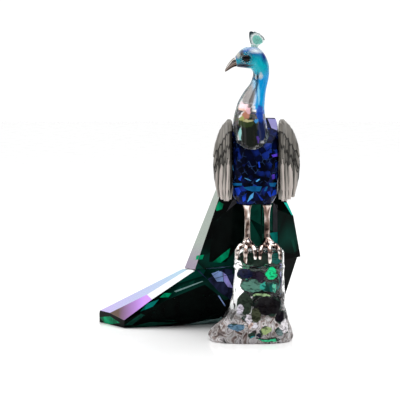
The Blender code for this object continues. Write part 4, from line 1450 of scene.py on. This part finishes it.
def make_beak():
    size = sizes()
    seat, outward, up = beak_seat()
    steps, sides = 28, 40
    rings, shades = [], []
    for step in range(steps):
        along = step / (steps - 1)
        width = 1 - 0.55 * along - 0.33 * along ** 6
        middle = seat + outward * (GAP / 3 + size.beak_length * along) - up * (BEAK_HANG * along ** 1.6)
        ring = []
        for turn in turns(sides):
            line = max(0.0, 1 - abs(cos(turn) + 0.25) / 0.12) * (1 - along)
            mouth = 1 - 0.07 * line
            nostril = eased(0.42, 0.3, along) * eased(0.08, 0.16, along)
            nostril *= max(0.0, 1 - abs(cos(turn) - 0.5) / 0.14)
            # Painted light and shade: bright on top, dark underneath and in the mouth line, darker at the
            # nostril
            shades.append(0.5 + 0.5 * cos(turn) - 0.2 * line - 0.5 * nostril)
            out = Vector((0.0, BEAK_HALF_WIDTH * width * sin(turn) * mouth, 0.0))
            ring.append(middle + up * (BEAK_HALF_HEIGHT * width * cos(turn)) + out)
        rings.append(ring)
    mesh = loft(rings)
    store(mesh, "shade", shades)
    place("beak_silver", mesh, [beak_plate()], "beak", "silvered_metal")


def make_eye(name, side, stone, glass):
    """A black stone on the flat at the side of the head, with a clear lid round it."""
    size = sizes()
    seat = neck_point(-0.089, 0.875, HEAD_BACK + side * HEAD_HALF) + Vector((0.0, side * GAP, 0.0))
    mesh = bmesh.new()
    bmesh.ops.create_uvsphere(mesh, u_segments=40, v_segments=24, radius=1.0)
    bmesh.ops.scale(mesh, verts=mesh.verts, vec=(size.eye_length / 2, EYE_DOME, EYE_HALF_HEIGHT))
    bmesh.ops.translate(mesh, verts=mesh.verts, vec=seat)
    grind(mesh, seat, Vector((0.0, -side, 0.0)))
    place(name + "_stone", mesh, [stone], name, "black_glass")
    ring = bmesh.new()
    thick, reach = LID_THICK, size.eye_length / 2 + LID_OUT
    start = bmesh.ops.create_circle(ring, segments=12, radius=thick)["verts"]
    bmesh.ops.translate(ring, verts=start, vec=(reach, 0.0, 0.0))
    whole = ring.verts[:] + ring.edges[:]
    bmesh.ops.spin(
        ring, geom=whole, axis=(0, 1, 0), cent=(0, 0, 0), angle=2 * pi, steps=56, use_merge=True
    )
    bmesh.ops.scale(ring, verts=ring.verts, vec=(1.0, 1.0, 0.92))
    bmesh.ops.translate(ring, verts=ring.verts, vec=seat + Vector((0.0, side * thick, 0.0)))
    place(name + "_lid", ring, [glass], None, "blue_tinted_glass")


def make_crest():
    size = sizes()
    foot = crown_point() + Vector((0.0, 0.0, GAP / 3))

    def shape(across, up, depth):
        plume = abs(sin(pi * 4 * across))
        fan = CREST_FOOT + (size.crest_width - CREST_FOOT) * sin(pi / 2 * up) ** 1.2
        arch = 1 - 0.48 * across ** 2.8 - 0.05 * (1 - plume)
        x = fan * (across - 0.5) + CREST_LEAN * up
        thick = CREST_THICK * (1 - 0.35 * up) * (0.8 + 0.2 * (1 - up + up * plume))
        round_off = sqrt(max(0.0, 1 - (2 * across - 1) ** 6)) * 0.35 + 0.65
        return foot + Vector((x, thick * (0.5 - depth) * round_off, size.crest_height * up * arch))

    def shade(across, up):
        far = sqrt(((across - 0.62) / 0.62) ** 2 + ((up - 0.5) / 0.52) ** 2)
        return max(1 - 0.9 * far, 0.45 * eased(0.3, 0.1, up))

    place("crest_fan", slab(72, 30, shape, shade), [crest_glass()], "crest", "pale_mint_glass")


# Wings


def wing_nearest(height, back):
    """How near the body's middle a wing may come, at a height and at a place behind the origin."""
    size = sizes()
    up = (height - body_floor()) / size.body_height
    wide, deep, forward = (blend([(row[0], row[column]) for row in BODY_ROWS], up) for column in (1, 2, 3))
    round_share = (back - BODY_BACK + size.body_depth * forward) / (size.body_depth / 2 * deep)
    half_width = size.body_width / 2 * wide * sqrt(max(0.0, 1 - round_share ** 2))
    return max(WING_NEAREST, half_width + WING_SPARE)


def feather_lane(across, down):
    """Which of the five long feathers a place belongs to, counted from the front edge."""
    return 5 * across + 0.3 * sin(4 * down) * sin(pi * across)


def wing_edges(across):
    """How far down the wing the smooth shoulder and the two rows of coverts end."""
    point = 0.035 * abs(sin(pi * 5 * across))
    return 0.12 + 0.3 * across, 0.3 + 0.26 * across + point, 0.5 + 0.1 * across + point


def wing_relief(across, down):
    """Height of the feather carving: shoulder, coverts and long feathers, in overlapping layers."""
    ends = wing_edges(across)
    shoulder_end = ends[0]
    lane = feather_lane(across, down)
    ribs = abs(sin(pi * lane))
    barbs = abs(sin(pi * 3 * lane + 6 * down))
    layer = sum(0.0004 * eased(end + 0.012, end - 0.004, down) for end in ends)
    grooves = (0.00085 * (1 - ribs) ** 1.4 + 0.00022 * barbs) * eased(shoulder_end, shoulder_end + 0.05, down)
    return layer - grooves


def wing_shade(across, down):
    """How pale the glass looks, 0 to 1: even on the shoulder, dark in the coverts, streaked further down,
    with painted shade in the grooves and under each row's edge.
    """
    shoulder_end, middle_end, covert_end = wing_edges(across)
    lane = feather_lane(across, down)
    # rib falls to nothing in the grooves between feathers, where shade is painted
    rib = abs(sin(pi * lane)) ** 0.7
    shaft = max(0.0, 1 - abs(lane % 1 - 0.55) / 0.1)
    if down < shoulder_end:
        return 0.36
    if down < covert_end:
        # Painted shade along the edges of the rows of coverts
        nearest_edge = min(down - shoulder_end, abs(down - middle_end))
        return (0.42 * rib - 0.2 * shaft) * eased(0.0, 0.035, nearest_edge)
    pale = 0.95 if int(lane) % 2 else 0.62
    return (pale * rib - 0.35 * shaft) * eased(0.0, 0.03, down - covert_end)


def make_wing(name, side, reach, finish):
    """A wing: its front edge stands against the body's flat and its back edge stands out from the body."""
    size = sizes()
    top = body_floor() + size.body_height - 0.0005
    seat, outward = wing_seat(side)

    def shape(across, down, depth):
        feather = abs(sin(pi * feather_lane(across, 1.0)))
        span = size.wing_length * (0.84 + 0.13 * feather ** 0.8 + 0.05 * sin(pi * across))
        rounding = size.wing_length * 0.1 * (1 - down) * (2 * across - 0.7) ** 2
        height = top - rounding - span * down
        seat_out = abs(seat.x - size.body_set_right) + (GAP - outward.z * (height - seat.z)) / abs(outward.x)
        front = min(seat_out, wing_nearest(height, WING_FRONT)) + 0.0014
        out = front + (reach * blend(WING_OUTLINE, down) - front) * across ** 1.4
        edge = min(across, 1 - across, down, 1 - down)
        if depth < 0.5:
            lift = wing_relief(across, down) * min(1.0, edge / 0.05)
        else:
            lift = -0.0012 - 0.0018 * min(1.0, edge / 0.3)
        turn = radians(25 * across)
        back = WING_FRONT + size.wing_width * across * (0.8 + 0.2 * down) - lift * sin(turn)
        nearest = min(seat_out, wing_nearest(height, back))
        return Vector((size.body_set_right + side * max(out + lift * cos(turn), nearest), back, height))

    place(name + "_glass", slab(120, 120, shape, wing_shade), [finish], name, "smoky_glass")


# Train


def train_point(left, back, height):
    """Left of the train's right end and behind its front, as shares of its sweep and depth, at a height."""
    size = sizes()
    return Vector((TRAIN_RIGHT - left * size.tail_length, TRAIN_FRONT + back * size.tail_depth, height))


def lower_corner(name):
    """A corner of the tail's lower piece."""
    left, back, up = LOWER_CORNERS[name]
    return train_point(left, back, up * sizes().tail_joint)


def tail_top():
    return body_floor() + sizes().body_height * 0.777


def upper_corner(name):
    """A corner of the tail's upper piece, whose front leans back as it rises from the joint."""
    left, back, up = UPPER_CORNERS[name]
    point, front = tail_seat()
    rise = up * (tail_top() - point.z)
    return train_point(left, back, point.z + rise) - Vector((0.0, rise * front.z / front.y, 0.0))


def joint_flat():
    """A point of the joint between the tail's pieces, and the joint's upward direction."""
    left, right = lower_corner("root inner"), lower_corner("right front")
    return left, (right - left).cross(Vector((0.0, 1.0, 0.0))).normalized()


def block(low, high):
    mesh = bmesh.new()
    bmesh.ops.create_cube(mesh, size=1.0)
    bmesh.ops.scale(mesh, verts=mesh.verts, vec=high - low)
    bmesh.ops.translate(mesh, verts=mesh.verts, vec=(high + low) / 2)
    return mesh


def train_finishes():
    """The train's crystal, coatings and glints, in the order of their slots."""
    tones = colours()
    tip, root, joint = CAD_LOW.x, lower_corner("root outer").x, sizes().tail_joint
    greens = [tinted(tones.train, by) for by in TRAIN_REFLECTION_TONES]
    lavender, brown, plum = (0.6, 0.48, 0.9), (0.12, 0.07, 0.05), (0.34, 0.29, 0.38)
    return [
        cut_crystal("green_crystal", greens, TRAIN_CELL, stretch=(0.55, 1.0, 1.0)),
        coated("sky_coat", lavender, tones.sky_coat, "X", tip, root),
        coated("white_coat", (0.9, 0.98, 1.0), (1.0, 1.0, 1.0), "X", tip, root),
        coated("violet_coat", brown, tones.violet_coat, "X", tip + 0.012, tip + 0.028, metallic=0.2),
        coated("grey_coat", plum, tones.grey_coat, "Z", joint, joint + 0.014),
        glint("mint", tones.glint_mint, 0.7),
        *(glint(*row) for row in TRAIN_GLINTS),
    ]


def finish_train(name, mesh, corner, flats, glint_facets, finishes):
    """Grinds a crystal's flats, polishes their edges and marks off its smaller facets with painted glints."""
    for finish, *corners in flats:
        facet(mesh, *(corner(at) for at in corners), corner("core"), TRAIN_FINISHES.index(finish))
    soften_edges(mesh, mesh.edges[:], sizes().facet_edge)
    for finish, *pixels in glint_facets:
        inlay(mesh, TRAIN_FINISHES.index(finish), pixels)
    place(name + "_crystal", mesh, finishes, name, "dark_green_crystal", smooth=False)


def make_tail_lower(finishes):
    mesh = block(train_point(1.0, -0.1, 0.0), train_point(0.0, 1.0, sizes().tail_joint * 1.2))
    point, up = joint_flat()
    grind(mesh, point - up * GAP, up)
    finish_train("tail_lower", mesh, lower_corner, LOWER_FLATS, LOWER_GLINT_FACETS, finishes)


def make_tail_upper(finishes):
    low = train_point(0.7, 0.0, sizes().tail_joint * 0.5)
    low.y = 0.0
    high = train_point(0.0, 1.0, tail_top())
    high.x += 0.004
    mesh = block(low, high)
    grind(mesh, *tail_seat())
    joint, up = joint_flat()
    grind(mesh, joint, -up)
    finish_train("tail_upper", mesh, upper_corner, UPPER_FLATS, UPPER_GLINT_FACETS, finishes)


# Stage


def aim(made, at, target):
    """Puts a camera or a light at a point and turns it to another."""
    made.location = at
    made.rotation_euler = (Vector(target) - Vector(at)).to_track_quat("-Z", "Y").to_euler()


def make_camera():
    data = bpy.data.cameras.new("camera")
    data.lens = LENS
    data.sensor_width = SENSOR
    data.clip_start = 0.05
    data.clip_end = 20.0
    made = add_object("camera", data)
    aim(made, CAMERA_AT, CAMERA_AIM)
    bpy.context.scene.camera = made


def make_floor():
    mesh = bmesh.new()
    bmesh.ops.create_grid(mesh, x_segments=8, y_segments=8, size=4.0)
    data = mesh_data("floor", mesh)
    made, tree, shader = new_material("table_top", Specular_IOR_Level=0.25)
    floor = colours().floor
    look = ramp(tree, noise_of(tree, 3.0, detail=2.0), (0.3, tinted(floor, 0.99)), (0.7, floor))
    paint(tree, shader, look, 0.1, 0.14, scale=40.0)
    data.materials.append(made)
    add_object("floor", data)


def make_world():
    """A studio all round: white behind, dark in front with strip lights, and bright overhead."""
    world = bpy.data.worlds.new("studio")
    bpy.context.scene.world = world
    world.use_nodes = True
    tree = world.node_tree
    tree.nodes.clear()
    parts = split(tree, add_node(tree, "ShaderNodeTexCoord").outputs["Generated"])
    front = worked_out(tree, "MULTIPLY", parts["Y"], -1.0)
    turn = worked_out(tree, "ARCTAN2", parts["X"], front)
    bearing = spread(tree, turn, -pi, pi)
    bands = []
    for band in (STUDIO_LOW, STUDIO_MIDDLE):
        stops = [((degrees + 180) / 360, colour) for degrees, colour in band]
        bands.append(ramp(tree, bearing, *stops, steps="CONSTANT"))
    sides = mixed(tree, spread(tree, parts["Z"], 0.3, 0.34), *bands)
    whole = mixed(tree, spread(tree, parts["Z"], 0.62, 0.7), sides, (1.15, 1.15, 1.15))
    studio = add_node(tree, "ShaderNodeBackground", Color=whole, Strength=1.0)
    plain = add_node(tree, "ShaderNodeBackground", Color=(1.0, 1.0, 1.0, 1.0), Strength=1.1)
    seen = add_node(tree, "ShaderNodeLightPath").outputs["Is Camera Ray"]
    both = add_node(tree, "ShaderNodeMixShader", Fac=seen)
    tree.links.new(studio.outputs[0], both.inputs[1])
    tree.links.new(plain.outputs[0], both.inputs[2])
    output = add_node(tree, "ShaderNodeOutputWorld")
    tree.links.new(both.outputs[0], output.inputs["Surface"])


def make_light(name, at, target, width, height, power):
    data = bpy.data.lights.new(name, "AREA")
    data.shape = "RECTANGLE"
    data.size = width
    data.size_y = height
    data.energy = power
    aim(add_object(name, data), at, target)


class PEACOCK_OT_stage(bpy.types.Operator):
    """Makes the camera, the table, the studio and its lights"""

    bl_idname = "peacock.stage"
    bl_label = "Stage"

    def execute(self, context):
        context.scene.view_settings.view_transform = "Standard"
        make_camera()
        make_floor()
        make_world()
        make_light("overhead", (0.0, 0.1, 1.2), (0.0, 0.0, 0.0), 1.2, 1.0, 16.0)
        return {"FINISHED"}


class PEACOCK_OT_stump(bpy.types.Operator):
    """Moulds the clear stump with its roots and drip line"""

    bl_idname = "peacock.stump"
    bl_label = "Stump"

    def execute(self, context):
        make_stump()
        return {"FINISHED"}


class PEACOCK_OT_metal(bpy.types.Operator):
    """Casts the two legs and the beak"""

    bl_idname = "peacock.metal"
    bl_label = "Legs and beak"

    def execute(self, context):
        silver = silver_plate()
        make_leg("leg_left", 1, silver)
        make_leg("leg_right", -1, silver)
        make_beak()
        return {"FINISHED"}


class PEACOCK_OT_body(bpy.types.Operator):
    """Cuts the dark blue body"""

    bl_idname = "peacock.body"
    bl_label = "Body"

    def execute(self, context):
        make_body()
        return {"FINISHED"}


class PEACOCK_OT_neck(bpy.types.Operator):
    """Blows the neck and head, and sets the eyes and the crest"""

    bl_idname = "peacock.neck"
    bl_label = "Neck, eyes and crest"

    def execute(self, context):
        make_neck()
        stone = black_stone()
        lid = clear_glass("lid_glass", 0.0)
        make_eye("eye_left", 1, stone, lid)
        make_eye("eye_right", -1, stone, lid)
        make_crest()
        return {"FINISHED"}


class PEACOCK_OT_wings(bpy.types.Operator):
    """Presses the two smoky wings"""

    bl_idname = "peacock.wings"
    bl_label = "Wings"

    def execute(self, context):
        smoke = smoky_glass()
        make_wing("wing_left", 1, sizes().left_wing_reach, smoke)
        make_wing("wing_right", -1, sizes().right_wing_reach, smoke)
        return {"FINISHED"}


class PEACOCK_OT_train(bpy.types.Operator):
    """Cuts the two crystals of the train"""

    bl_idname = "peacock.train"
    bl_label = "Train"

    def execute(self, context):
        finishes = train_finishes()
        make_tail_upper(finishes)
        make_tail_lower(finishes)
        return {"FINISHED"}


STEPS = ("stage", "stump", "metal", "body", "neck", "wings", "train")


class PEACOCK_PT_panel(bpy.types.Panel):
    """Sizes, colours and steps of the peacock"""

    bl_label = "Crystal Peacock"
    bl_space_type = "VIEW_3D"
    bl_region_type = "UI"
    bl_category = "Peacock"

    def draw(self, context):
        for group in (context.scene.peacock_sizes, context.scene.peacock_colours):
            column = self.layout.column(align=True)
            for name in group.__annotations__:
                column.prop(group, name)
        for step in STEPS:
            self.layout.operator("peacock." + step)


CLASSES = (
    PeacockSizes,
    PeacockColours,
    PEACOCK_OT_stage,
    PEACOCK_OT_stump,
    PEACOCK_OT_metal,
    PEACOCK_OT_body,
    PEACOCK_OT_neck,
    PEACOCK_OT_wings,
    PEACOCK_OT_train,
    PEACOCK_PT_panel,
)


def register():
    for made in CLASSES:
        bpy.utils.register_class(made)
    bpy.types.Scene.peacock_sizes = PointerProperty(type=PeacockSizes)
    bpy.types.Scene.peacock_colours = PointerProperty(type=PeacockColours)


def unregister():
    del bpy.types.Scene.peacock_colours
    del bpy.types.Scene.peacock_sizes
    for made in reversed(CLASSES):
        bpy.utils.unregister_class(made)


def main():
    register()
    for step in STEPS:
        getattr(bpy.ops.peacock, step)()


if __name__ == "__main__":
    main()
